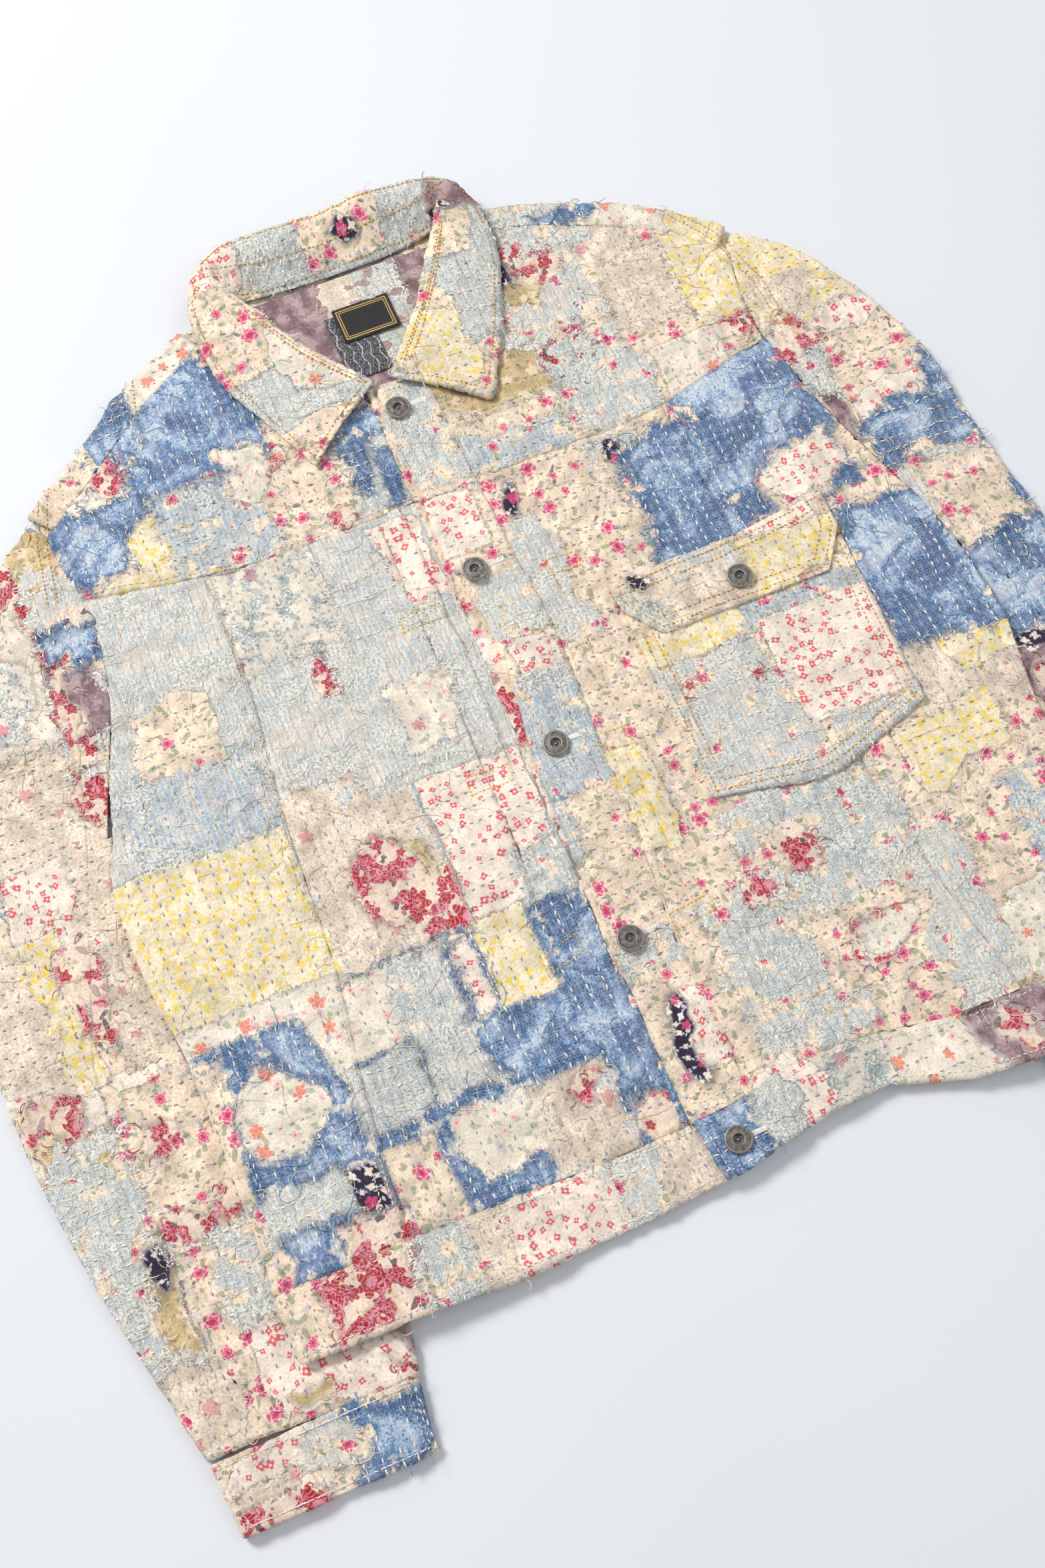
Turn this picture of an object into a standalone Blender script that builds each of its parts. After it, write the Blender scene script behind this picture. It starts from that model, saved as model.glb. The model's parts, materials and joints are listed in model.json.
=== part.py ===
"""Patched boro jacket laid flat on a table, as the cloth pieces that a maker cuts and sews.

Every piece is a wall of real thickness. X is the wearer's left, Y points to the collar and Z up
from the table. The origin lies on the table under the button line, half way between the first
and the last button. Sizes in the tables are millimetres, turned into metres as meshes are made.
"""

import math
from collections import namedtuple

import bmesh
import bpy
from mathutils import Vector

MM = 0.001

# Wall thicknesses
CLOTH = 2.4
BAND = 2.8
COLLAR = 2.6
POCKET = 1.8
FLAP = 2.0
LINING = 1.2
LABEL = 1.0

# Spaces between pieces
SEAM = 0.3
ARMHOLE_GAP = 1.0
POCKET_GAP = 1.0
LIE = 0.4
AIR = 1.8
STACK_AIR = 1.3

# Heights of the layers over the table
FRONT_TOP = 2 * CLOTH + AIR
FOLD_ROUND = FRONT_TOP / 2
STACK = FRONT_TOP + STACK_AIR
BAND_TOP = FRONT_TOP + BAND - CLOTH
OVERLAP_RISE = CLOTH + LIE
BAND_RISE = BAND + LIE
BODY_RAMP = 56.0
BODY_TAPER = 56.0
PLACKET_RAMP = 20.0
BAND_RAMP = 26.0
POCKET_RAMP = 14.0
EDGE_DROP = AIR - 2 * SEAM
EDGE_WIDTH = 5.0
SHOULDER_WRAP = 16.0

# Buttons
BUTTON_RADIUS = 8.5
BUTTON_HEIGHT = 4.2
BUTTON_SIDES = 14
# Half of the button's outline, as shares of its radius and height
BUTTON_PROFILE = (
    (0.0, 0.5), (0.14, 0.48), (0.22, 0.24), (0.32, 0.24), (0.44, 0.76), (0.66, 1.0), (0.9, 0.84),
    (1.0, 0.45), (0.8, 0.0), (0.0, 0.0),
)

Row = namedtuple("Row", "y x")
Point = namedtuple("Point", "x y")
Crease = namedtuple("Crease", "x0 y0 x1 y1 width height")
Pleat = namedtuple("Pleat", "offset reach rise fade_from fade_to")
Cross = namedtuple("Cross", "seam_y seam_x outer_x outer_y")
Inner = namedtuple("Inner", "seam_y inner_x inner_y")
Station = namedtuple("Station", "neck roll middle free")
Spot = namedtuple("Spot", "name x y cloth")
Cuff = namedtuple("Cuff", "top_left top_right bottom_left bottom_right")
Box = namedtuple("Box", "x0 x1 y0 y1")

# Side edge, armhole and shoulder point of the wearer's right, from the waist seam up
BODY_RIGHT = [
    Row(-248, -275), Row(-150, -276), Row(-100, -277), Row(-50, -284), Row(0, -285),
    Row(20, -282), Row(35, -278), Row(52, -273), Row(75, -268), Row(90, -263),
    Row(105, -257), Row(125, -250), Row(150, -244), Row(175, -239), Row(195, -237),
    Row(210, -238), Row(235, -242), Row(262, -247), Row(283, -251),
]
# The same on the wearer's left
BODY_LEFT = [
    Row(-248, 285), Row(-150, 287), Row(-100, 289), Row(-75, 292), Row(-54, 297),
    Row(-30, 301), Row(0, 302), Row(28, 300), Row(50, 296), Row(75, 291), Row(117, 278),
    Row(150, 268), Row(180, 260), Row(220, 252), Row(245, 251), Row(271, 254),
    Row(309, 262), Row(317, 264),
]
# Upper edge of the back, over both shoulders and the back of the neck
SHOULDERS = [
    Point(-251, 283), Point(-217, 311), Point(-166, 351), Point(-103, 389), Point(-84, 397),
    Point(-62, 396), Point(0, 394), Point(62, 396), Point(84, 401), Point(106, 399),
    Point(143, 391), Point(183, 374), Point(234, 346), Point(264, 317),
]
BACK_ROWS = (0.0, 0.12, 0.24, 0.34, 0.42, 0.47, 0.52, 0.57, 0.63, 0.7, 0.77, 0.84, 0.9, 0.95, 1.0)
BACK_COLUMNS = (
    0.0, 0.025, 0.055, 0.085, 0.115, 0.145, 0.18, 0.22, 0.28, 0.36, 0.45, 0.54, 0.62, 0.68, 0.74,
    0.785, 0.82, 0.85, 0.88, 0.91, 0.94, 0.97, 1.0,
)
FRONT_ROWS = (
    0.0, 0.08, 0.16, 0.24, 0.32, 0.39, 0.45, 0.505, 0.56, 0.61, 0.66, 0.72, 0.79, 0.86, 0.93, 1.0,
)
# Columns of the front pieces: share of the width, and millimetres added to it
SIDE_COLUMNS = [
    (0.0, SEAM / 2), (0.0, 5.5), (0.16, 0.0), (0.3, 0.0), (0.45, 0.0), (0.62, 0.0), (0.8, 0.0),
    (1.0, -SEAM / 2),
]
CENTER_COLUMNS_RIGHT = [
    (0.0, SEAM / 2), (0.0, 9.6), (0.0, 11.0), (0.0, 20.0), (0.0, 27.6), (0.0, 29.0), (0.0, 42.0),
    (0.42, 0.0), (0.56, 0.0), (0.7, 0.0), (0.84, 0.0), (1.0, -SEAM / 2),
]
CENTER_COLUMNS_LEFT = [
    (0.0, SEAM / 2), (0.0, 9.0), (0.0, 17.1), (0.0, 18.5), (0.0, 30.0), (0.0, 34.6), (0.0, 36.0),
    (0.0, 46.0), (0.45, 0.0), (0.6, 0.0), (0.73, 0.0), (0.86, 0.0), (1.0, -SEAM / 2),
]
NECK_RIGHT_X = -90.0
NECK_LEFT_X = 96.0

# Seams between the front pieces
FELL_RIGHT = [
    Row(-248, -196), Row(-150, -187), Row(-90, -178), Row(20, -172), Row(100, -163), Row(205, -158),
]
FELL_LEFT = [
    Row(-248, 192), Row(-170, 180), Row(-85, 173), Row(0, 172), Row(100, 168), Row(205, 165),
]
PLACKET_EDGE = [
    Row(-248, -21), Row(-200, -21), Row(-160, -20), Row(-134, -22), Row(-100, -20), Row(-75, -18),
    Row(-50, -16), Row(-25, -17), Row(0, -16), Row(25, -11), Row(50, -7), Row(75, -6), Row(100, -6),
    Row(120, -10), Row(134, -14), Row(175, -12), Row(200, -10), Row(250, -13), Row(287, -8),
]
PLACKET_SEAM = [
    Row(-248, 18), Row(-200, 20), Row(-140, 18), Row(-100, 22), Row(-50, 24), Row(0, 28),
    Row(50, 32), Row(75, 33), Row(125, 30), Row(200, 28), Row(287, 27),
]
UNDER_SEAM = [
    Row(-248, -25), Row(-100, -23), Row(0, -19), Row(100, -17), Row(200, -16), Row(300, -14),
]
UNDER_EDGE_X = 16.0
PLACKET_TOP_Y = 287.0
UNDER_TOP_Y = 291.0
YOKE_SEAM_RIGHT = [Point(-242, 213), Point(-160, 200), Point(-90, 195), Point(-14, 199)]
YOKE_SEAM_LEFT = [Point(26, 199), Point(100, 198), Point(160, 202), Point(258, 226)]
WAIST = [
    Point(-290, -248), Point(-200, -248), Point(-100, -249), Point(-20, -249), Point(20, -246),
    Point(50, -241), Point(80, -240), Point(105, -242), Point(150, -250), Point(200, -252),
    Point(295, -250),
]
HEM = [
    Point(-290, -287), Point(-200, -289), Point(-150, -290), Point(-60, -289), Point(-20, -286),
    Point(0, -285), Point(25, -279), Point(60, -273), Point(95, -272), Point(110, -276),
    Point(140, -287), Point(165, -291), Point(200, -293), Point(295, -289),
]
BACK_HEM_INSET = 3.0
BAND_LAP_TOP = Point(-19, -249)
BAND_LAP_BOTTOM = Point(-15, -286)
BAND_UNDER_END_X = 17.5

# Neckline of each front, as half the width of the neck for each height
NECKLINE_RIGHT = [
    Row(291, -15.5), Row(300, -26), Row(322, -43), Row(350, -61), Row(378, -77), Row(390, -84),
]
NECKLINE_LEFT = [
    Row(288, 27.5), Row(297, 31), Row(322, 47), Row(350, 65), Row(378, 82), Row(395, 92),
]
LINING_RIGHT = [Row(276, -20), Row(300, -36), Row(330, -58), Row(360, -76), Row(387, -82)]
LINING_LEFT = [Row(276, 22), Row(300, 36), Row(330, 58), Row(360, 78), Row(387, 84)]
LINING_BOTTOM_Y = 276.0
LINING_TOP_Y = 386.0

# Places where the body lies over the sleeves: just past the inner edge of each sleeve
UNDER_RIGHT = [
    Row(-320, -202), Row(-255, -199), Row(-205, -204), Row(-145, -209), Row(-95, -215),
    Row(-60, -222), Row(-35, -233), Row(-18, -246), Row(2, -258), Row(60, -262),
]
UNDER_LEFT = [
    Row(-320, 180), Row(-262, 182), Row(-213, 193), Row(-150, 208), Row(-110, 221),
    Row(-80, 237), Row(-60, 254), Row(-44, 276), Row(30, 282),
]
LIFT_TOP_RIGHT_Y = 51.0
LIFT_TOP_LEFT_Y = 27.0
POCKET_BOX = Box(72.0, 238.0, -88.0, 106.0)

# Pleats beside the front opening, as distances from the seam, and the largest creases
PLEATS_RIGHT = [Pleat(11, 9, 1.8, 40, -60), Pleat(29, 14, 2.2, -30, -150)]
PLEATS_LEFT = [Pleat(18.5, 13, 2.2, -60, -170), Pleat(36, 11, 1.6, 20, -50)]
CREASES = [
    Crease(78, -262, 66, -150, 20, 4.0), Crease(-38, -18, -84, -88, 12, 2.4),
    Crease(-110, -84, -165, -70, 13, 2.6), Crease(-236, 92, -190, 60, 14, 1.8),
    Crease(-225, 40, -130, 25, 16, 1.6), Crease(55, 45, 74, -20, 9, 1.5),
    Crease(110, -165, 190, -205, 18, 2.0), Crease(235, 30, 262, -28, 14, 2.2),
    Crease(-60, -225, -50, -160, 12, 2.6), Crease(205, 262, 238, 190, 16, 2.2),
    Crease(-205, 300, -150, 262, 14, 2.0), Crease(60, 330, 150, 300, 14, 1.2),
    Crease(-120, -195, -70, -215, 12, 1.6), Crease(210, -95, 275, -120, 14, 1.8),
]
SLEEVE_CREASES = [
    Crease(262, 236, 288, 196, 11, 4.2), Crease(284, 262, 318, 226, 13, 3.0),
    Crease(290, 164, 305, 122, 11, 2.4), Crease(340, 96, 306, 60, 12, 2.4),
    Crease(-254, 232, -284, 200, 11, 3.8), Crease(-266, 158, -286, 96, 11, 2.2),
    Crease(-300, 178, -322, 130, 13, 2.6), Crease(-352, 20, -306, -14, 11, 3.0),
    Crease(-372, -92, -330, -108, 10, 2.8), Crease(-366, -40, -326, -62, 11, 2.2),
    Crease(-352, -292, -320, -252, 10, 2.6), Crease(-300, -205, -336, -232, 12, 2.0),
    Crease(350, -110, 322, -150, 12, 2.2), Crease(365, -20, 330, -50, 12, 2.4),
]

# Sleeves: the armhole and then the seam of the two pieces, for falling y, with the outer fold
# that faces it and, below the top of the under piece, the armhole or inner fold on its other side
SLEEVE_RIGHT = [
    Cross(267, -249.5, -258, 278), Cross(240, -243.6, -285, 255), Cross(208, -238.6, -314, 215),
    Cross(180, -240.5, -330, 170), Cross(157, -258, -337, 145), Cross(125, -271, -342, 118),
    Cross(100, -278, -347, 95), Cross(75, -284, -351, 75), Cross(25, -297, -363, 25),
    Cross(-25, -312, -374, -25), Cross(-85, -330, -383, -85), Cross(-140, -329, -379, -140),
    Cross(-200, -324, -369, -200), Cross(-250, -321, -357, -250), Cross(-314, -303, -341, -314),
]
SLEEVE_LEFT = [
    Cross(302, 261.9, 270, 311), Cross(275, 255.2, 297, 289), Cross(240, 251.8, 326, 249),
    Cross(205, 255.6, 342, 205), Cross(184, 261.5, 347, 184), Cross(146, 281, 351, 146),
    Cross(100, 297, 355, 100), Cross(50, 310, 359, 50), Cross(0, 319, 366, 0),
    Cross(-50, 327, 378, -50), Cross(-90, 332, 383, -90), Cross(-145, 328, 376, -145),
    Cross(-206, 318, 358, -206), Cross(-250, 304, 341, -250), Cross(-314, 276, 313, -312),
]
UNDERARM_RIGHT = [
    Inner(180, -239.2, 178), Inner(157, -243.1, 155), Inner(125, -250.6, 125),
    Inner(100, -259.6, 100), Inner(75, -268.7, 75), Inner(52, -273.8, 52), Inner(36, -279.6, 36),
    Inner(20, -284, 20), Inner(4, -286.6, 3), Inner(-8, -286.8, -10), Inner(-22, -266, -20),
    Inner(-40, -248, -38), Inner(-62, -236, -62), Inner(-95, -226, -97), Inner(-140, -219, -143),
    Inner(-200, -213, -205), Inner(-250, -208, -255), Inner(-314, -218, -316.5),
]
UNDERARM_LEFT = [
    Inner(184, 260.6, 181), Inner(146, 269.9, 146), Inner(100, 284.1, 100), Inner(75, 291.6, 75),
    Inner(50, 296.7, 50), Inner(28, 300.8, 28), Inner(12, 302.8, 12), Inner(-2, 303.6, -3),
    Inner(-18, 304.0, -18), Inner(-32, 303.0, -34), Inner(-46, 284, -46), Inner(-62, 264, -62),
    Inner(-84, 246, -84), Inner(-112, 229, -112), Inner(-150, 216, -152), Inner(-206, 202, -213),
    Inner(-250, 191, -262), Inner(-314, 193, -316.5),
]
ARMPIT_RIGHT_Y = 52.0
ARMPIT_LEFT_Y = 28.0
CUFF_RIGHT = Cuff(-340, -219, -336, -223)
CUFF_LEFT = Cuff(194, 313, 199, 316)
CUFF_TOP_Y = -317.4
CUFF_BOTTOM_Y = -358.0

# Collar from the wearer's right front round the neck to the left: neck seam, roll, mid leaf, free edge
COLLAR_STATIONS = [
    Station((-17, 289, 8.2), (-9, 291, 12.6), (-38, 271, 12.0), (-66, 248, 9.4)),
    Station((-27, 300, 8.2), (-20, 305, 14.0), (-49, 287, 13.0), (-77, 273, 9.4)),
    Station((-44, 322, 8.2), (-38, 328, 15.0), (-65, 309, 13.5), (-88, 298, 9.6)),
    Station((-60, 350, 8.2), (-55, 356, 15.5), (-80, 338, 14.0), (-100, 326, 10.0)),
    Station((-72, 374, 8.2), (-67, 380, 16.5), (-89, 366, 15.0), (-105, 354, 11.0)),
    Station((-79, 391, 8.2), (-76, 398, 18.0), (-94, 388, 16.5), (-105, 378, 12.0)),
    Station((-79, 396, 8.0), (-82, 411, 20.0), (-95, 407, 17.0), (-102, 400, 11.0)),
    Station((-73, 395, 5.6), (-78, 420, 21.0), (-90, 422, 13.0), (-92, 413, 4.0)),
    Station((-62, 392, 4.3), (-65, 423, 21.5), (-69, 433, 11.0), (-68, 409, 1.7)),
    Station((-38, 390, 4.3), (-38, 423, 22.0), (-38, 434, 10.0), (-38, 405, 1.7)),
    Station((0, 389, 4.3), (0, 422, 22.0), (0, 433, 10.0), (0, 404, 1.7)),
    Station((40, 390, 4.3), (42, 424, 22.0), (43, 435, 10.0), (42, 406, 1.7)),
    Station((64, 393, 4.3), (70, 425, 22.0), (74, 434, 11.0), (74, 411, 1.7)),
    Station((78, 397, 5.6), (85, 422, 22.0), (98, 425, 14.0), (100, 416, 4.0)),
    Station((86, 399, 8.0), (90, 413, 21.0), (104, 412, 18.0), (111, 405, 11.0)),
    Station((86, 393, 8.2), (82, 400, 19.5), (100, 394, 17.5), (112, 383, 12.0)),
    Station((79, 376, 8.2), (72, 382, 17.5), (95, 372, 15.5), (110, 358, 11.0)),
    Station((66, 352, 8.2), (58, 358, 16.5), (82, 345, 14.5), (101, 332, 10.0)),
    Station((49, 326, 8.2), (40, 332, 16.0), (67, 317, 13.5), (90, 304, 9.8)),
    Station((33, 304, 9.8), (22, 311, 16.0), (50, 294, 14.0), (76, 277, 9.8)),
    Station((19, 289, 11.2), (5, 289, 15.4), (33, 271, 14.2), (61, 250, 10.6)),
]

COLLAR_STEPS = 28
COLLAR_READS = (0.0, 0.5, 0.8, 1.0, 1.2, 1.5, 2.0, 2.5, 3.0)

# Chest pocket, its flap, the neck label and the strip under it
POCKET_SIDE_RIGHT = [Row(-90, 77), Row(70, 79)]
POCKET_SIDE_LEFT = [Row(-90, 225), Row(70, 232)]
POCKET_BOTTOM = [Point(77, -69), Point(110, -75), Point(150, -82), Point(190, -71), Point(226, -60)]
POCKET_TOP_Y = 66.0
FLAP_RIGHT_EDGE = [Row(44, 96), Row(70, 77), Row(100, 77)]
FLAP_LEFT_EDGE = [Row(44, 212), Row(74, 233), Row(102, 233)]
FLAP_BOTTOM = [Point(77, 45), Point(233, 45)]
FLAP_TOP = [Point(77, 91), Point(155, 92), Point(233, 101)]
FLAP_ROWS = (0.0, 0.24, 0.5, 0.62, 0.8, 1.0)
LABEL_BOX = Box(-13.0, 27.5, 332.0, 360.0)
LABEL_STRIP_BOX = Box(-20.0, 10.0, 303.0, 356.0)

BUTTONS = [
    Spot("button_1", 0, 267, "placket"), Spot("button_2", 1, 134, "placket"),
    Spot("button_3", 1, 1, "placket"), Spot("button_4", -8, -133, "placket"),
    Spot("button_5", 0, -268, "band"), Spot("button_flap", 156, 62, "flap"),
]

COLOURS = {
    "cloth": (0.74, 0.68, 0.58), "indigo": (0.16, 0.25, 0.43), "gauze": (0.62, 0.66, 0.65),
    "lining": (0.42, 0.33, 0.36), "black": (0.03, 0.03, 0.035), "metal": (0.22, 0.21, 0.20),
    "yellow": (0.80, 0.72, 0.50), "rose": (0.72, 0.55, 0.50),
}


def clamp(value, low=0.0, high=1.0):
    return max(low, min(high, value))


def smooth(value):
    value = clamp(value)
    return value * value * (3 - 2 * value)


def hermite(knots, values, at):
    """A smooth curve through the table's rows, straight beyond its ends."""
    last = len(knots) - 1
    if at <= knots[0] or at >= knots[last]:
        step = 0 if at <= knots[0] else last - 1
        slope = (values[step + 1] - values[step]) / (knots[step + 1] - knots[step])
        return values[step] + slope * (at - knots[step])
    step = max(i for i in range(last) if knots[i] <= at)
    before, after = max(step - 1, 0), min(step + 2, last)
    width = knots[step + 1] - knots[step]
    start = (values[step + 1] - values[before]) / (knots[step + 1] - knots[before]) * width
    end = (values[after] - values[step]) / (knots[after] - knots[step]) * width
    t = (at - knots[step]) / width
    return (
        (2 * t**3 - 3 * t**2 + 1) * values[step] + (t**3 - 2 * t**2 + t) * start
        + (3 * t**2 - 2 * t**3) * values[step + 1] + (t**3 - t**2) * end
    )


def edge(rows):
    """x as a function of y, from rows in rising y."""
    return lambda y: hermite([row.y for row in rows], [row.x for row in rows], y)


def line(points):
    """y as a function of x, from points in rising x."""
    return lambda x: hermite([point.x for point in points], [point.y for point in points], x)


def level(value):
    return lambda _: value


body_right, body_left = edge(BODY_RIGHT), edge(BODY_LEFT)
fell_right, fell_left = edge(FELL_RIGHT), edge(FELL_LEFT)
placket_edge, placket_seam = edge(PLACKET_EDGE), edge(PLACKET_SEAM)
under_right, under_left = edge(UNDER_RIGHT), edge(UNDER_LEFT)
under_seam = edge(UNDER_SEAM)
waist, hem = line(WAIST), line(HEM)
yoke_right, yoke_left = line(YOKE_SEAM_RIGHT), line(YOKE_SEAM_LEFT)
shoulders = line(SHOULDERS)


def lift(x, y):
    """How far the body is raised where it lies over the sleeves."""
    right = smooth((under_right(y) + BODY_RAMP - x) / BODY_RAMP)
    left = smooth((x - under_left(y) + BODY_RAMP) / BODY_RAMP)
    below_right = smooth((LIFT_TOP_RIGHT_Y - y) / BODY_TAPER)
    below_left = smooth((LIFT_TOP_LEFT_Y - y) / BODY_TAPER)
    return STACK * (right * below_right + left * below_left)


def off_pocket(x, y):
    """0 on the pocket and 1 well away from it, so that the pocket lies on smooth cloth."""
    across = max(POCKET_BOX.x0 - x, 0, x - POCKET_BOX.x1)
    up = max(POCKET_BOX.y0 - y, 0, y - POCKET_BOX.y1)
    return smooth(math.hypot(across, up) / POCKET_RAMP)


def crease_height(creases, x, y):
    total = 0.0
    for crease in creases:
        start = Vector((crease.x0, crease.y0))
        run = Vector((crease.x1, crease.y1)) - start
        along = clamp((Vector((x, y)) - start).dot(run) / run.length_squared)
        off = (Vector((x, y)) - start - along * run).length
        total += crease.height * math.exp(-((off / crease.width) ** 2))
    return total


def pleat_height(pleats, offset, y):
    """A knife pleat rises away from the opening and ends in a sharp fold."""
    total = 0.0
    for pleat in pleats:
        if pleat.offset <= offset <= pleat.offset + pleat.reach:
            fade = smooth((y - pleat.fade_to) / (pleat.fade_from - pleat.fade_to))
            total += pleat.rise * fade * smooth(1 - (offset - pleat.offset) / pleat.reach)
    return total


def side_drop(x, y):
    """The front bends down to the back at the side edges of the body, below the armholes."""
    right = smooth(1 - (x - body_right(y)) / EDGE_WIDTH) * smooth((-10 - y) / 15)
    left = smooth(1 - (body_left(y) - x) / EDGE_WIDTH) * smooth((-34 - y) / 15)
    return EDGE_DROP * (right + left)


def front_base(x, y):
    creased = crease_height(CREASES, x, y) * off_pocket(x, y)
    return FRONT_TOP + lift(x, y) + creased - side_drop(x, y)


def left_front(x, y):
    """The left front climbs onto the right one beside the placket."""
    return front_base(x, y) + OVERLAP_RISE * smooth((placket_seam(y) + PLACKET_RAMP - x) / PLACKET_RAMP)


def right_center(x, y):
    return front_base(x, y) + pleat_height(PLEATS_RIGHT, under_seam(y) - x, y)


def left_center(x, y):
    return left_front(x, y) + pleat_height(PLEATS_LEFT, x - placket_seam(y), y)


def flap_top(x, y):
    return left_front(x, y) + SEAM + FLAP + (POCKET + POCKET_GAP) * smooth((84 - y) / 12)


def band_right_top(x, y):
    return front_base(x, y) + BAND_TOP - FRONT_TOP


def band_left_top(x, y):
    return band_right_top(x, y) + BAND_RISE * smooth((BAND_RAMP + 22 - x) / BAND_RAMP)


def plan_grid(left, right, bottom, top, columns, rows):
    """Points of a piece between four edges. A column is (share of the width, offset), a row the same."""
    grid = []
    for share_up, offset_up in rows:
        points = []
        for share, offset in columns:
            x = (left(0) + right(0)) / 2
            for _ in range(14):
                y = (1 - share_up) * bottom(x) + share_up * top(x) + offset_up
                x = (1 - share) * left(y) + share * right(y) + offset
            points.append((x, y))
        grid.append(points)
    return grid


def even_ends(shares, gap=SEAM / 2):
    """The shares with half a seam's gap at both ends."""
    spread = [(share, 0.0) for share in shares]
    spread[0], spread[-1] = (0.0, gap), (1.0, -gap)
    return spread


def even(count, gap=SEAM / 2):
    return even_ends([i / count for i in range(count + 1)], gap)


def raise_grid(grid, height):
    return [[(x, y, height(x, y)) for x, y in points] for points in grid]


def laid_grid(mesh, rows):
    """A flat grid whose points are moved to the rows of places."""
    across, up = len(rows[0]) - 1, len(rows) - 1
    made = bmesh.ops.create_grid(mesh, x_segments=across, y_segments=up, size=0.5)["verts"]
    for vert in made:
        column = round((vert.co.x + 0.5) * across)
        row = round((vert.co.y + 0.5) * up)
        vert.co = Vector(rows[row][column]) * MM


def make_object(name, mesh, collection, colour, roughness=0.9, metallic=0.0):
    data = bpy.data.meshes.new(name)
    mesh.to_mesh(data)
    mesh.free()
    data.shade_smooth()
    material = bpy.data.materials.new(name + "_colour")
    material.use_nodes = True
    shader = material.node_tree.nodes["Principled BSDF"]
    shader.inputs["Base Color"].default_value = (*COLOURS[colour], 1.0)
    shader.inputs["Roughness"].default_value = roughness
    shader.inputs["Metallic"].default_value = metallic
    data.materials.append(material)
    made = bpy.data.objects.new(name, data)
    collection.objects.link(made)
    return made


def surface_mesh(grids, faces_up):
    mesh = bmesh.new()
    for rows in grids:
        laid_grid(mesh, rows)
    bmesh.ops.remove_doubles(mesh, verts=mesh.verts, dist=0.002 * MM)
    bmesh.ops.recalc_face_normals(mesh, faces=mesh.faces)
    mesh.faces.ensure_lookup_table()
    if (mesh.faces[0].normal.z > 0) != faces_up:
        bmesh.ops.reverse_faces(mesh, faces=mesh.faces)
    return mesh


def flat_piece(name, rows, thickness, collection, colour="cloth"):
    """A piece that lies flat: its upper side, and the same side drawn down by the wall."""
    mesh = surface_mesh([rows], False)
    lower = bmesh.ops.extrude_face_region(mesh, geom=mesh.faces[:], use_keep_orig=True)
    moved = [part for part in lower["geom"] if isinstance(part, bmesh.types.BMVert)]
    bmesh.ops.translate(mesh, verts=moved, vec=(0, 0, -thickness * MM))
    bmesh.ops.recalc_face_normals(mesh, faces=mesh.faces)
    return make_object(name, mesh, collection, colour)


def bent_piece(name, grids, thickness, collection, colour="cloth", faces_up=True, offset=-1.0):
    """A piece that bends round a fold: an open outer surface, given its wall inwards."""
    made = make_object(name, surface_mesh(grids, faces_up), collection, colour)
    wall = made.modifiers.new("Wall", "SOLIDIFY")
    wall.thickness = thickness * MM
    wall.offset = offset
    wall.use_even_offset = offset != 0.0
    return made


def back_panel(collection):
    """One plain back, turned over both shoulders to the shoulder seams of the front."""
    rows = [(share, 0.0) for share in BACK_ROWS]
    rows[0] = (0.0, SEAM / 2)
    flat = plan_grid(body_right, body_left, waist, shoulders, even_ends(BACK_COLUMNS), rows)
    surface = raise_grid(flat, lift)
    top = flat[-1]
    grids = [surface]
    for chosen in (
        [i for i, (x, _) in enumerate(top) if x < NECK_RIGHT_X],
        [i for i, (x, _) in enumerate(top) if x > NECK_LEFT_X],
    ):
        fold = [[(*top[i], 0.0) for i in chosen]]
        for angle in (36, 72, 108, 144, 180):
            fold.append([wrap_point(top[i], angle, 0.0) for i in chosen])
        for inward in (SHOULDER_WRAP / 2, SHOULDER_WRAP):
            fold.append([wrap_point(top[i], 180, inward) for i in chosen])
        grids.append(fold)
    return bent_piece("back_panel", grids, CLOTH, collection, faces_up=False)


def shoulder_normal(x):
    """Direction in plan that points out over the shoulder edge."""
    slope = (shoulders(x + 2) - shoulders(x - 2)) / 4
    return Vector((-slope, 1.0)).normalized()


def wrap_point(point, angle, inward):
    out = shoulder_normal(point[0])
    turn = math.radians(angle)
    reach = FOLD_ROUND * math.sin(turn) - inward
    height = FOLD_ROUND * (1 - math.cos(turn))
    return (point[0] + out.x * reach, point[1] + out.y * reach, height)


def shoulder_seam(x):
    """The front meets the turned part of the back a set distance inside the fold."""
    out = shoulder_normal(x)
    return shoulders(x) - (SHOULDER_WRAP + 4 * SEAM) / max(out.y, 0.5)


def fronts(collection):
    """The four front panels and two yokes. It returns the places along the waist seam."""
    rows = even_ends(FRONT_ROWS)
    right_center_columns = mirrored(CENTER_COLUMNS_RIGHT)
    left_side_columns = mirrored(SIDE_COLUMNS)
    panels = (
        ("right_side", body_right, fell_right, yoke_right, SIDE_COLUMNS, front_base),
        ("right_center", fell_right, under_seam, yoke_right, right_center_columns, right_center),
        ("left_center", placket_seam, fell_left, yoke_left, CENTER_COLUMNS_LEFT, left_center),
        ("left_side", fell_left, body_left, yoke_left, left_side_columns, left_front),
    )
    along_waist = []
    for name, left, right, top, columns, height in panels:
        grid = plan_grid(left, right, waist, top, columns, rows)
        flat_piece("front_" + name, raise_grid(grid, height), CLOTH, collection)
        along_waist += [x for x, _ in grid[0]]
    yokes = (
        ("right", body_right, neck_right, yoke_right, front_base, "indigo"),
        ("left", neck_left, body_left, yoke_left, left_front, "gauze"),
    )
    for name, left, right, bottom, height, colour in yokes:
        grid = plan_grid(left, right, bottom, shoulder_seam, even(13), even(9))
        flat_piece("front_yoke_" + name, raise_grid(grid, height), CLOTH, collection, colour)
    return along_waist


def mirrored(columns):
    return [(1.0 - share, -offset) for share, offset in columns[::-1]]


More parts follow.
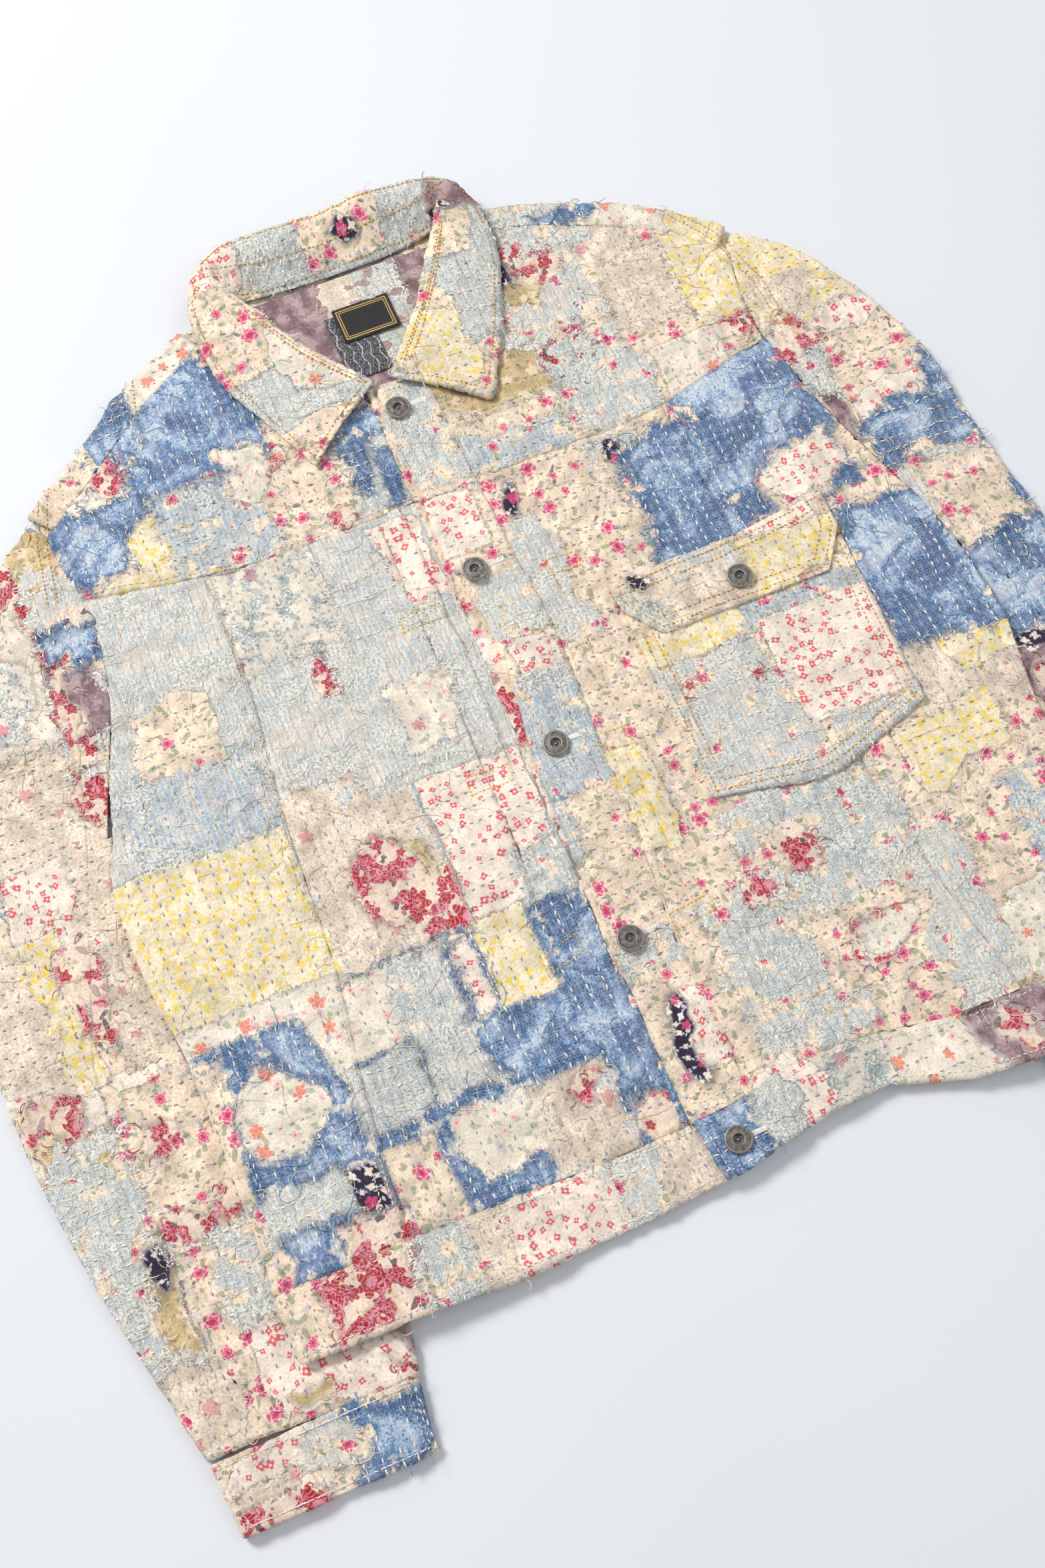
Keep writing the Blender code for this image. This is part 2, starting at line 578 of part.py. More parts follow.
def neck_right(y):
    """Front edge of the right yoke: the placket seam, then the neckline."""
    return under_seam(y) if y < NECKLINE_RIGHT[0].y else edge(NECKLINE_RIGHT)(y)


def neck_left(y):
    return placket_seam(y) if y < NECKLINE_LEFT[0].y else edge(NECKLINE_LEFT)(y)


def plackets(collection):
    over = plan_grid(placket_edge, placket_seam, waist, level(PLACKET_TOP_Y), even(4, SEAM), even(26))
    flat_piece("placket_left", raise_grid(over, left_front), CLOTH, collection, "gauze")
    ends = under_seam, level(UNDER_EDGE_X)
    under = plan_grid(*ends, waist, level(UNDER_TOP_Y), even(2, SEAM), even(16))
    flat_piece("placket_right_under", raise_grid(under, front_base), CLOTH, collection, "rose")


def read_at(table, y):
    """A row of the sleeve's table at any height, read as smooth curves down the sleeve."""
    knots = [-row[0] for row in table]
    fields = range(1, len(table[0]))
    return [hermite(knots, [row[field] for row in table], -y) for field in fields]


def spaced(first, last, count):
    return [first + (last - first) * i / count for i in range(count + 1)]


def sleeve_top(x, y, ease):
    """Creases fade out towards the armhole and where the sleeve runs under the body."""
    right = smooth((body_right(y) - 2 - x) / 12) if x < 0 else 0.0
    left = smooth((x - body_left(y) - 2) / 12) if x > 0 else 0.0
    return FRONT_TOP + crease_height(SLEEVE_CREASES, x, y) * ease * (right + left)


def fold_points(bend, out, height):
    """Half a turn from the top of a fold to its underside, between the two flat ends."""
    points = []
    for angle in (36, 72, 108, 144):
        turn = math.radians(angle)
        place = bend + out * FOLD_ROUND * math.sin(turn)
        points.append((place.x, place.y, height / 2 * (1 + math.cos(turn))))
    return points


def shift_towards(point, other, distance):
    point, other = Vector(point), Vector(other)
    return point + (other - point).normalized() * distance


def sleeves(collection):
    sides = (
        ("right", SLEEVE_RIGHT, UNDERARM_RIGHT, ARMPIT_RIGHT_Y),
        ("left", SLEEVE_LEFT, UNDERARM_LEFT, ARMPIT_LEFT_Y),
    )
    for side, outer, inner, armpit in sides:
        meeting, cuff_y = inner[0].seam_y, outer[-1].seam_y
        above = spaced(outer[0].seam_y, meeting, 5)[:-1]
        beside = spaced(meeting, armpit, 5)
        below = spaced(armpit, cuff_y, 11)[1:]
        upper_sleeve(side, outer, above, beside + below, collection)
        under_sleeve(side, outer, inner, beside, below, collection)


def armhole(side, y):
    """Where the sleeve meets the body, a little clear of the body's edge."""
    if side == "right":
        return body_right(y) - ARMHOLE_GAP
    return body_left(y) + ARMHOLE_GAP


def upper_sleeve(side, table, above, along_seam, collection):
    """From the armhole or seam over the top, round the outer fold and back underneath."""
    rows = []
    for y in above + along_seam:
        seam_x, outer_x, outer_y = read_at(table, y)
        if y in above:
            seam_x = armhole(side, y)
        outer = Vector((outer_x, outer_y))
        seam = shift_towards((seam_x, y), outer, SEAM)
        inward = (seam - outer).normalized()
        bend = outer + inward * FOLD_ROUND
        points = []
        for i in range(6):
            place = seam.lerp(bend, i / 5)
            ease = smooth((place - outer).length / 20)
            points.append((place.x, place.y, sleeve_top(place.x, place.y, ease)))
        points += fold_points(bend, -inward, points[-1][2])
        for i in range(3):
            place = bend.lerp(seam, i / 2)
            points.append((place.x, place.y, 0.0))
        rows.append(points)
    bent_piece(f"sleeve_{side}_upper", [rows], CLOTH, collection, "yellow")


def under_sleeve(side, outer, table, beside, below, collection):
    """Open along the armhole down to the armpit, folded at the inner edge below it."""
    tops, bottoms, folds = [], [], []
    for y in beside + below:
        inner = Vector(read_at(table, y))
        folded = y <= beside[-1]
        if not folded:
            inner.x = armhole(side, inner.y)
        seam = shift_towards((read_at(outer, y)[0], y), inner, SEAM)
        bend = shift_towards(inner, seam, FOLD_ROUND if folded else SEAM)
        top = []
        for i in range(5):
            place = seam.lerp(bend, i / 4)
            ease = smooth((place - bend).length / 12)
            top.append((place.x, place.y, sleeve_top(place.x, place.y, ease)))
        tops.append(top)
        bottoms.append([(x, y, 0.0) for x, y, _ in top])
        if folded:
            out = (bend - seam).normalized()
            folds.append([top[-1], *fold_points(bend, out, FRONT_TOP), bottoms[-1][-1]])
    bent_piece(f"sleeve_{side}_under", [tops, bottoms, folds], CLOTH, collection, "cloth")


def cuff(name, shape, collection):
    """A flattened ring of double cloth, open at both ends."""
    rows = []
    for share in (0.0, 0.5, 1.0):
        y = CUFF_TOP_Y + (CUFF_BOTTOM_Y - CUFF_TOP_Y) * share
        x0 = shape.top_left + (shape.bottom_left - shape.top_left) * share + FOLD_ROUND
        x1 = shape.top_right + (shape.bottom_right - shape.top_right) * share - FOLD_ROUND
        over = [(x, y, BAND_TOP) for x in spaced(x0, x1, 8)]
        under = [(x, y, 0.0) for x in spaced(x1, x0, 4)]
        far = fold_points(Vector((x1, y)), Vector((1, 0)), BAND_TOP)
        near = fold_points(Vector((x0, y)), Vector((-1, 0)), BAND_TOP)[::-1]
        rows.append(over + far + under + near + over[:1])
    bent_piece(name, [rows], BAND, collection, "indigo")


def waistband(along_waist, collection):
    """Both front bands take their places along the waist seam from the panels above them."""
    half = SEAM / 2
    rows = [(0.0, 0.0), (0.5, 0.0), (1.0, -half)]
    middle = level(0.0)
    under = [x for x in along_waist if x < 0] + [0.0, BAND_UNDER_END_X]
    grid = plan_grid(middle, middle, hem, waist, [(0.0, x) for x in under], rows)
    flat_piece("waistband_right", raise_grid(grid, band_right_top), BAND, collection, "rose")
    over = [-0.5, 8.0] + [x for x in along_waist if x > 0]
    grid = plan_grid(middle, middle, hem, waist, [(0.0, x) for x in over], rows)
    for share, points in zip((0.0, 0.5, 1.0), grid):
        points.insert(0, lap_point(share))
    flat_piece("waistband_left", raise_grid(grid, band_left_top), BAND, collection, "gauze")
    back_rows = [(0.0, BACK_HEM_INSET), (0.5, BACK_HEM_INSET / 2), (1.0, -half)]
    ends = level(body_right(WAIST[0].y)), level(body_left(WAIST[0].y))
    grid = plan_grid(*ends, hem, waist, even_ends(BACK_COLUMNS), back_rows)
    flat_piece("waistband_back", raise_grid(grid, back_top), CLOTH, collection)


def lap_point(share):
    """The free end of the left band slants a little."""
    bottom, top = BAND_LAP_BOTTOM, BAND_LAP_TOP
    return bottom.x + (top.x - bottom.x) * share, bottom.y + (top.y - bottom.y) * share


def back_top(x, y):
    return lift(x, y) + CLOTH


def collar(collection):
    """A single collar: it leans back behind the neck and its leaves lie on the fronts."""
    rows = []
    for points in sample_stations(COLLAR_STEPS):
        rows.append([between(points, at) for at in COLLAR_READS])
    bent_piece("collar", [rows], COLLAR, collection, "gauze", offset=0.0)


def between(points, at):
    """A place on the smooth curve through points in space."""
    knots = range(len(points))
    return tuple(hermite(knots, [point[axis] for point in points], at) for axis in range(3))


def sample_stations(count):
    steps = len(COLLAR_STATIONS) - 1
    picked = spaced(0.0, steps, count)
    parts = range(len(Station._fields))
    return [
        [between([station[part] for station in COLLAR_STATIONS], at) for part in parts]
        for at in picked
    ]


def pocket_and_flap(collection):
    sides = edge(POCKET_SIDE_RIGHT), edge(POCKET_SIDE_LEFT)
    grid = plan_grid(*sides, line(POCKET_BOTTOM), level(POCKET_TOP_Y), even(11, 0.0), even(8, 0.0))
    top = raise_grid(grid, lambda x, y: left_front(x, y) + POCKET_GAP + POCKET)
    flat_piece("chest_pocket", top, POCKET, collection, "gauze")
    edges = edge_straight(FLAP_RIGHT_EDGE), edge_straight(FLAP_LEFT_EDGE)
    rows = even_ends(FLAP_ROWS, 0.0)
    grid = plan_grid(*edges, line(FLAP_BOTTOM), line(FLAP_TOP), even(12, 0.0), rows)
    flat_piece("chest_pocket_flap", raise_grid(grid, flap_top), FLAP, collection, "yellow")


def edge_straight(rows):
    """x as a function of y, with straight runs and a corner at each row."""
    def read(y):
        for low, high in zip(rows, rows[1:]):
            if y <= high.y or high is rows[-1]:
                return low.x + (high.x - low.x) * clamp((y - low.y) / (high.y - low.y))
    return read


def level_top(height):
    return lambda x, y: height


def neck_inside(collection):
    sides = edge(LINING_RIGHT), edge(LINING_LEFT)
    grid = plan_grid(*sides, level(LINING_BOTTOM_Y), level(LINING_TOP_Y), even(6, 0.0), even(6, 0.0))
    lining_top = CLOTH + SEAM + LINING
    top = raise_grid(grid, level_top(lining_top))
    flat_piece("back_neck_lining", top, LINING, collection, "lining")
    strip_top = lining_top + SEAM + LABEL
    flat_patch("neck_strip", LABEL_STRIP_BOX, strip_top, collection)
    flat_patch("neck_label", LABEL_BOX, strip_top + SEAM + LABEL, collection)


def flat_patch(name, box, top, collection):
    ends = level(box.x0), level(box.x1), level(box.y0), level(box.y1)
    grid = plan_grid(*ends, even(4, 0.0), even(3, 0.0))
    flat_piece(name, raise_grid(grid, level_top(top)), LABEL, collection, "black")


def buttons(collection):
    """Turned metal buttons: a rolled rim round a hollow with a small post."""
    cloths = {"placket": left_front, "band": band_left_top, "flap": flap_top}
    reach = (-BUTTON_RADIUS, 0.0, BUTTON_RADIUS)
    for spot in BUTTONS:
        mesh = bmesh.new()
        verts = [
            mesh.verts.new((r * BUTTON_RADIUS * MM, 0.0, z * BUTTON_HEIGHT * MM))
            for r, z in BUTTON_PROFILE
        ]
        for low, high in zip(verts, verts[1:]):
            mesh.edges.new((low, high))
        made = make_object(spot.name, mesh, collection, "metal", 0.35, 0.9)
        turn = made.modifiers.new("Turned", "SCREW")
        turn.steps = BUTTON_SIDES
        turn.render_steps = BUTTON_SIDES
        turn.use_merge_vertices = True
        turn.merge_threshold = 0.01 * MM
        cloth = cloths[spot.cloth]
        base = max(cloth(spot.x + dx, spot.y + dy) for dx in reach for dy in reach) + SEAM
        made.location = (spot.x * MM, spot.y * MM, base * MM)


def main():
    for old in list(bpy.data.objects):
        bpy.data.objects.remove(old)
    collection = bpy.data.collections.new("patched_boro_jacket")
    bpy.context.scene.collection.children.link(collection)
    back_panel(collection)
    along_waist = fronts(collection)
    plackets(collection)
    sleeves(collection)
    cuff("cuff_right", CUFF_RIGHT, collection)
    cuff("cuff_left", CUFF_LEFT, collection)
    waistband(along_waist, collection)
    neck_inside(collection)
    collar(collection)
    pocket_and_flap(collection)
    buttons(collection)


main()
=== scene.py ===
"""Looks of the patched boro jacket: patched cloth, stitches, frayed threads, buttons and the stage.

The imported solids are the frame. Each cloth solid is replaced by a finer shell made from it, with
crinkles, puckered seams and patches that stand a little proud. Patches are listed in millimetres
of the jacket's own plan: X to the wearer's left, Y towards the collar.
"""

import json
import math
from collections import namedtuple

import bmesh
import bpy
import numpy as np
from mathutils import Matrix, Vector
from mathutils.bvhtree import BVHTree

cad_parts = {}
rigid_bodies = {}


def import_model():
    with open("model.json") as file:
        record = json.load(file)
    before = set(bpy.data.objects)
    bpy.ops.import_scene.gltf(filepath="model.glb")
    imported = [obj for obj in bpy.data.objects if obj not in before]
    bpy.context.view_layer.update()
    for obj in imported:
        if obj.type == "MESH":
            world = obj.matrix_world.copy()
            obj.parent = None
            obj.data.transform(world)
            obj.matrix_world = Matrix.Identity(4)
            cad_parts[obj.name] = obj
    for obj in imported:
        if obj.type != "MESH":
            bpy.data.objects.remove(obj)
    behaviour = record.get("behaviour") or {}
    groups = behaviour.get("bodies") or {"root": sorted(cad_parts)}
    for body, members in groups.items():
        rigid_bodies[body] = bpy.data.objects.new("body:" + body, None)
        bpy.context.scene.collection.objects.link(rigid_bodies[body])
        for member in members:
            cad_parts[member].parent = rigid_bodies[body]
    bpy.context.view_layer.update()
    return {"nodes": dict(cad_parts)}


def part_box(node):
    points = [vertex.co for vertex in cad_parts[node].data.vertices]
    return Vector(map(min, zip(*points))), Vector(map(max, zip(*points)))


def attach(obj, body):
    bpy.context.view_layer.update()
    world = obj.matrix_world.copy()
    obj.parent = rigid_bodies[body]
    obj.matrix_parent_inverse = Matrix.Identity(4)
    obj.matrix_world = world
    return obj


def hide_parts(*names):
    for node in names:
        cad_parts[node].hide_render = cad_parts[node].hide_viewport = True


bl_info = {
    "name": "Patched boro jacket",
    "version": (1, 0, 0),
    "blender": (4, 5, 0),
    "location": "3D View > Sidebar > Jacket",
    "description": "Dresses the jacket's solids with patched cloth, stitches, frays and buttons",
    "category": "Object",
}

MM = 0.001
TURN = 6.2832
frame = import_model()

Patch = namedtuple("Patch", "fabric x0 x1 y0 y1 edge")
Area = namedtuple("Area", "base patches nodes slot quilt", defaults=(None,))
Fabric = namedtuple("Fabric", "rise crinkle loose")

# Rise over the base cloth, share of crinkle and looseness of weave of each fabric, in the order
# in which they lie
FABRICS = {
    "rose": Fabric(0.35, 1.0, 0.25), "twill": Fabric(0.45, 0.8, 0.1),
    "teal": Fabric(0.4, 0.8, 0.15), "coral": Fabric(0.4, 0.8, 0.1),
    "yellow": Fabric(0.45, 0.7, 0.1), "taupe": Fabric(0.3, 0.9, 0.4),
    "crimson": Fabric(0.4, 0.9, 0.2), "tan": Fabric(0.4, 0.8, 0.2),
    "mauve": Fabric(0.35, 0.9, 0.2), "dark": Fabric(0.35, 0.9, 0.2),
    "stripe": Fabric(0.3, 0.9, 0.9), "rib": Fabric(0.3, 1.0, 1.0),
    "gauze": Fabric(0.25, 0.9, 0.9), "indigo": Fabric(0.6, 1.0, 0.6),
}


def laid(text):
    """Patches from rows of fabric, x0, x1, y0, y1 and edge, which is torn unless it is named."""
    made = []
    for words in map(str.split, text.split(",")):
        sides = [float(word) for word in words[1:5]]
        made.append(Patch(words[0], *sides, words[5] if len(words) > 5 else "torn"))
    return made


AREAS = {
    "right_yoke": Area("rose", laid("""
        twill -225 -185 262 302, indigo -192 -88 262 360, indigo -248 -178 224 276,
        indigo -256 -222 270 330, crimson -216 -188 278 310 round, yellow -228 -155 200 216,
        yellow -202 -168 214 246, rib -178 -104 200 266 sewn, twill -122 -78 243 276,
        crimson -104 -84 252 272 round, rose -102 -44 204 262, crimson -74 -52 197 214 round,
        gauze -46 -10 204 276, indigo -46 -32 216 258, indigo -24 -12 204 240,
        indigo -48 -14 254 278
    """), ["front_yoke_right"], "indigo_cotton"),
    "left_yoke": Area("rose", laid("""
        tan 18 112 240 288, crimson 110 144 240 288 round, stripe 72 172 284 352,
        gauze 112 168 200 276, rib 0 102 199 236 sewn, rose 30 112 226 243,
        crimson 98 146 324 362 round, dark 98 112 322 357 round, tan 100 128 308 331,
        teal 96 134 366 400, taupe 168 222 268 327, taupe 158 197 333 368, yellow 212 268 250 332,
        crimson 216 250 226 252 round, twill 176 222 199 247 sewn, gauze 120 176 352 400
    """), ["front_yoke_left"], "patched_cotton"),
    "right_front": Area("stripe", laid("""
        stripe -238 -164 126 194 sewn, teal -162 -92 116 198 sewn, stripe -166 -48 18 126,
        stripe -92 -50 116 160, coral -52 -22 128 192, rose -244 -186 68 122, rib -268 -172 12 72,
        twill -87 -48 28 82, taupe -172 -116 4 36, crimson -127 -103 88 117 round,
        stripe -48 -16 12 128, yellow -292 -174 -91 16 sewn, taupe -176 -92 -92 11 sewn,
        tan -128 -100 -74 -20, crimson -146 -106 -70 -8 round, crimson -124 -90 -92 -44 sewn,
        coral -89 -22 -84 11 sewn, gauze -48 -14 -108 -58, indigo -278 -16 -250 -92,
        twill -290 -178 -102 -84 sewn, yellow -93 -58 -144 -84 sewn,
        twill -266 -212 -179 -118 round, rose -290 -264 -250 -110, twill -202 -134 -142 -90,
        coral -110 -96 -143 -96, gauze -149 -114 -180 -90, gauze -194 -150 -180 -146,
        gauze -268 -212 -222 -196, rose -194 -158 -248 -194 sewn, twill -146 -98 -230 -190,
        dark -216 -196 -230 -198 sewn, crimson -236 -194 -252 -226, taupe -102 -52 -252 -192 sewn,
        crimson -80 -56 -216 -199 round, crimson -50 -24 -254 -222 round
    """), ["front_right_side", "front_right_center"], "patched_cotton"),
    "left_front": Area("rose", laid("""
        dark 33 49 152 184 round, gauze 100 134 178 200, dark 106 122 182 198 round,
        indigo 116 184 88 188, indigo 172 262 98 216, indigo 176 256 180 226, taupe 198 244 98 128,
        coral 200 266 108 146 round, indigo 230 306 -30 84, taupe 226 296 -78 -28,
        yellow 198 268 -114 -66, yellow 256 306 -57 -28, yellow 24 47 -88 -12, stripe 26 58 60 150,
        gauze 72 154 -107 -80, gauze 122 178 -172 -84, gauze 38 112 -238 -126,
        gauze 96 204 -174 -128, crimson 98 124 -132 -103 round, crimson 66 92 -150 -128 round,
        rose 88 168 -220 -156, crimson 112 150 -210 -172 round, twill 122 152 -204 -176 round,
        stripe 162 204 -252 -146, twill 204 262 -252 -196, crimson 246 292 -250 -206,
        rib 236 300 -200 -134, coral 24 58 -250 -236
    """), ["front_left_side", "front_left_center"], "patched_cotton"),
    "placket": Area("rose", laid("""
        gauze -20 32 196 292, coral -14 18 148 192 sewn, stripe -12 34 82 128 sewn,
        coral 4 34 54 82, rib -20 34 -32 52 sewn, gauze -24 26 -157 -134,
        dark -8 12 -226 -178 round, coral 8 26 -217 -178, rib -20 -8 -80 -32
    """), ["placket_left"], "grey_gauze"),
    "placket_under": Area("coral", laid("""
        rose -30 20 90 300, crimson -30 20 10 60, indigo -30 20 -250 -150
    """), ["placket_right_under"], "rose_floral_cotton"),
    "pocket": Area("rose", laid("""
        yellow 74 158 22 44 sewn, stripe 70 152 -90 22 sewn, rib 148 236 -2 46,
        coral 153 236 -50 30 sewn, crimson 82 94 -6 6 round, crimson 133 144 -8 5 round,
        stripe 150 236 -90 -50
    """), ["chest_pocket"], "grey_gauze"),
    "flap": Area("taupe", laid("""
        teal 74 100 42 78, taupe 96 158 42 100, dark 88 107 77 92 round, yellow 154 236 46 83,
        coral 172 218 81 104, stripe 120 158 72 100
    """), ["chest_pocket_flap"], "grey_gauze"),
    "collar": Area("gauze", laid("""
        rose -110 -44 326 400, rose -90 -20 248 284, twill -60 -14 300 360, rose -20 42 396 440,
        dark 2 22 404 424 round, coral -102 -62 396 440, mauve 84 114 392 420,
        dark 78 92 393 404 round, rose 62 94 362 396, stripe 53 92 298 347, rose 33 62 306 352,
        yellow 14 60 284 326, rose 16 86 244 292, yellow 30 62 262 300
    """), ["collar"], "grey_gauze"),
    "right_sleeve": Area("rose", laid("""
        tan -284 -244 224 274, crimson -296 -276 214 268, stripe -276 -236 198 242,
        indigo -280 -230 166 198, crimson -280 -260 98 180, mauve -266 -242 118 168,
        twill -345 -283 122 220, teal -340 -290 130 200 round, taupe -352 -284 38 122,
        crimson -288 -262 56 92 round, coral -350 -298 4 50 sewn, yellow -356 -322 -94 8 sewn,
        taupe -384 -344 -94 6, crimson -328 -298 -62 -6, taupe -304 -272 -96 60,
        crimson -392 -348 -118 -94, tan -378 -356 -137 -110 round, tan -348 -330 -142 -116 round,
        gauze -386 -326 -264 -118, twill -328 -292 -112 -94, rose -327 -262 -206 -103,
        crimson -322 -302 -152 -120 round, crimson -322 -300 -204 -176 round,
        crimson -296 -276 -196 -172 round, tan -344 -322 -256 -214, dark -344 -326 -222 -196 round,
        rose -324 -284 -306 -204 sewn, gauze -302 -262 -252 -196, taupe -354 -312 -318 -262,
        coral -296 -220 -318 -250, tan -290 -258 -314 -303, crimson -234 -216 -314 -300
    """), ["sleeve_right_upper", "sleeve_right_under"], "patched_cotton", (
        -400, -200, -330, 300, 11
    )),
    "left_sleeve": Area("rose", laid("""
        yellow 250 336 226 322, taupe 256 298 232 268, crimson 255 287 196 236 round,
        gauze 256 284 160 202, mauve 262 282 126 167, coral 286 348 142 228, rose 284 352 160 214,
        indigo 334 360 110 172, indigo 282 352 98 143, gauze 313 348 74 106, rose 296 356 32 97,
        indigo 298 360 -44 32, dark 298 330 -98 -44, mauve 296 332 -110 -60,
        crimson 302 350 -90 -70
    """), ["sleeve_left_upper", "sleeve_left_under"], "patched_cotton", (180, 400, -330, 330, 29)),
    "right_cuff": Area("rose", laid("""
        coral -332 -284 -342 -324, taupe -345 -278 -353 -339 sewn, crimson -345 -286 -362 -350,
        indigo -268 -214 -362 -318, stripe -290 -262 -346 -318
    """), ["cuff_right"], "rose_floral_cotton"),
    "left_cuff": Area("indigo", laid("""
        rose 224 262 -362 -314, yellow 262 290 -362 -336, gauze 190 214 -362 -314
    """), ["cuff_left"], "indigo_cotton"),
    "band_right": Area("rose", laid("""
        crimson -248 -194 -294 -244, gauze -196 -163 -294 -244, taupe -166 -138 -294 -244 sewn,
        coral -141 -74 -294 -244 sewn, stripe -76 -48 -294 -244, taupe -50 20 -294 -244
    """), ["waistband_right"], "rose_floral_cotton"),
    "band_left": Area("gauze", laid("""
        indigo -20 17 -296 -238, coral 44 67 -294 -236, teal 60 122 -296 -236,
        twill 104 162 -296 -236 sewn, mauve 158 204 -298 -244, crimson 168 188 -292 -254 round,
        rose 204 252 -298 -244 sewn, indigo 252 292 -298 -244
    """), ["waistband_left"], "grey_gauze"),
    "lining": Area("mauve", laid("""
        taupe -17 12 352 392, gauze 8 42 298 388 sewn, taupe -62 -52 300 390, stripe 60 80 330 360
    """), ["back_neck_lining"], "mauve_lining"),
    "back": Area("rose", laid("""
        twill -168 -100 300 402, indigo -214 -164 290 380, rose -256 -212 262 330,
        teal 98 134 366 402, stripe 130 182 350 402, twill 178 236 316 384, yellow 228 270 280 352,
        indigo 146 190 368 384
    """), ["back_panel", "waistband_back"], "patched_cotton", (-310, 310, -300, 400, 5)),
}
# Fabrics and their shares in the plain quilting of parts that the jacket hides
QUILT_MIX = (
    ("rose", 5), ("twill", 3), ("gauze", 3), ("stripe", 2), ("indigo", 3), ("yellow", 2),
    ("coral", 2), ("taupe", 2), ("crimson", 1), ("teal", 1), ("mauve", 1),
)


def srgb(red, green, blue):
    """A colour given as shown on screen, made linear."""
    made = []
    for part in (red, green, blue):
        share = part / 255
        made.append(share / 12.92 if share <= 0.04045 else ((share + 0.055) / 1.055) ** 2.4)
    return tuple(made)


def share_value(name, description):
    return bpy.props.FloatProperty(
        name=name, description=description, default=1.0, min=0.0, max=4.0, subtype="FACTOR"
    )


def colour_value(name, description, red, green, blue):
    return bpy.props.FloatVectorProperty(
        name=name, description=description, default=srgb(red, green, blue), size=3,
        min=0.0, max=1.0, subtype="COLOR",
    )


class JacketSizes(bpy.types.PropertyGroup):
    """Sizes that a user may change before the pieces are made"""

    mesh_step: bpy.props.FloatProperty(
        name="Mesh step", description="Longest edge of the cloth's visible faces",
        default=3.1 * MM, unit="LENGTH",
    )
    crinkle: share_value("Crinkle", "Height of the crinkles, as a share of the usual")
    seam_pucker: share_value("Seam pucker", "Height of the puckers beside seams")
    patch_rise: share_value("Patch rise", "How far patches stand proud")
    fold_rise: share_value("Fold rise", "Height of the longer folds")


class JacketColours(bpy.types.PropertyGroup):
    """Colours of the fabrics, threads and metal"""

    cream: colour_value("Cream", "Ground of the printed cotton", 238, 217, 193)
    twill: colour_value("Twill", "Ground of the cream twill", 234, 223, 205)
    sand: colour_value("Sand", "Beige cotton", 231, 214, 194)
    butter: colour_value("Butter", "Ground of the yellow print", 236, 222, 192)
    lemon: colour_value("Lemon", "Flowers of the yellow print", 236, 207, 92)
    pink: colour_value("Pink", "Roses", 212, 78, 122)
    coral: colour_value("Coral", "Small flowers of the coral print", 216, 84, 96)
    crimson: colour_value("Crimson", "Large dark flowers", 166, 32, 52)
    leaf: colour_value("Leaf", "Grey green leaves", 140, 152, 122)
    lilac: colour_value("Lilac", "Small lilac flowers and running stitches", 168, 166, 190)
    teal: colour_value("Teal", "Dusty teal leaves", 112, 140, 152)
    indigo: colour_value("Indigo", "Faded indigo cotton", 62, 105, 152)
    indigo_pale: colour_value("Pale indigo", "Worn threads of the indigo", 122, 154, 190)
    grey: colour_value("Grey gauze", "Grey gauze", 189, 196, 196)
    stripe: colour_value("Stripe", "Blue grey stripes of the gauze", 162, 186, 204)
    tan: colour_value("Tan", "Mustard cotton", 206, 182, 138)
    mauve: colour_value("Mauve", "Mauve cotton and lining", 158, 132, 136)
    night: colour_value("Night", "Darkest flowers and leaves", 56, 44, 66)
    thread: colour_value("Thread", "Loose threads and white stitches", 244, 240, 228)
    ochre: colour_value("Ochre", "Topstitching", 206, 158, 66)
    metal: colour_value("Metal", "Buttons", 122, 117, 112)
    label: colour_value("Label", "Black woven label", 22, 22, 24)
    floor: colour_value("Floor", "White table", 219, 222, 226)


# Where two cloths are joined, in millimetres of plan. The cloth sinks and puckers along them.
SEAMS = (
    ((-196, -248), (-187, -150), (-178, -90), (-172, 20), (-163, 100), (-158, 205)),
    ((192, -248), (180, -170), (173, -85), (172, 0), (168, 100), (165, 205)),
    ((-21, -248), (-18, -100), (-16, 0), (-7, 85), (-14, 134), (-8, 287)),
    ((18, -248), (22, -100), (28, 0), (33, 75), (28, 200), (27, 287)),
    ((-242, 213), (-160, 200), (-90, 195), (-14, 199)),
    ((26, 199), (100, 198), (160, 202), (258, 226)),
    ((-276, -248), (-100, -249), (18, -249), (80, -240), (200, -250), (292, -249)),
    ((-252, 216), (-246, 260), (-232, 300), (-210, 345)),
    ((262, 226), (262, 270), (250, 310), (226, 350)),
    ((-165, 300), (-158, 340), (-150, 375)),
    ((80, 78), (150, 80), (226, 85)),
)
HASH_PRIMES = (374761393, 668265263, 2246822519, 3266489917)


def corner_value(corner, seed):
    """A number from -1 to 1 for each whole-number corner, the same each run."""
    mixed = np.full(len(corner), seed * HASH_PRIMES[3], np.uint64)
    for axis in range(3):
        mixed = mixed + (corner[:, axis] + 4096).astype(np.uint64) * np.uint64(HASH_PRIMES[axis])
    mixed = mixed & np.uint64(0xFFFFFFFF)
    mixed = (mixed ^ (mixed >> np.uint64(15))) * np.uint64(HASH_PRIMES[2]) & np.uint64(0xFFFFFFFF)
    mixed = (mixed ^ (mixed >> np.uint64(13))) * np.uint64(HASH_PRIMES[3]) & np.uint64(0xFFFFFFFF)
    mixed = mixed ^ (mixed >> np.uint64(16))
    return (mixed & np.uint64(0xFFFF)).astype(np.float64) / 32767.5 - 1


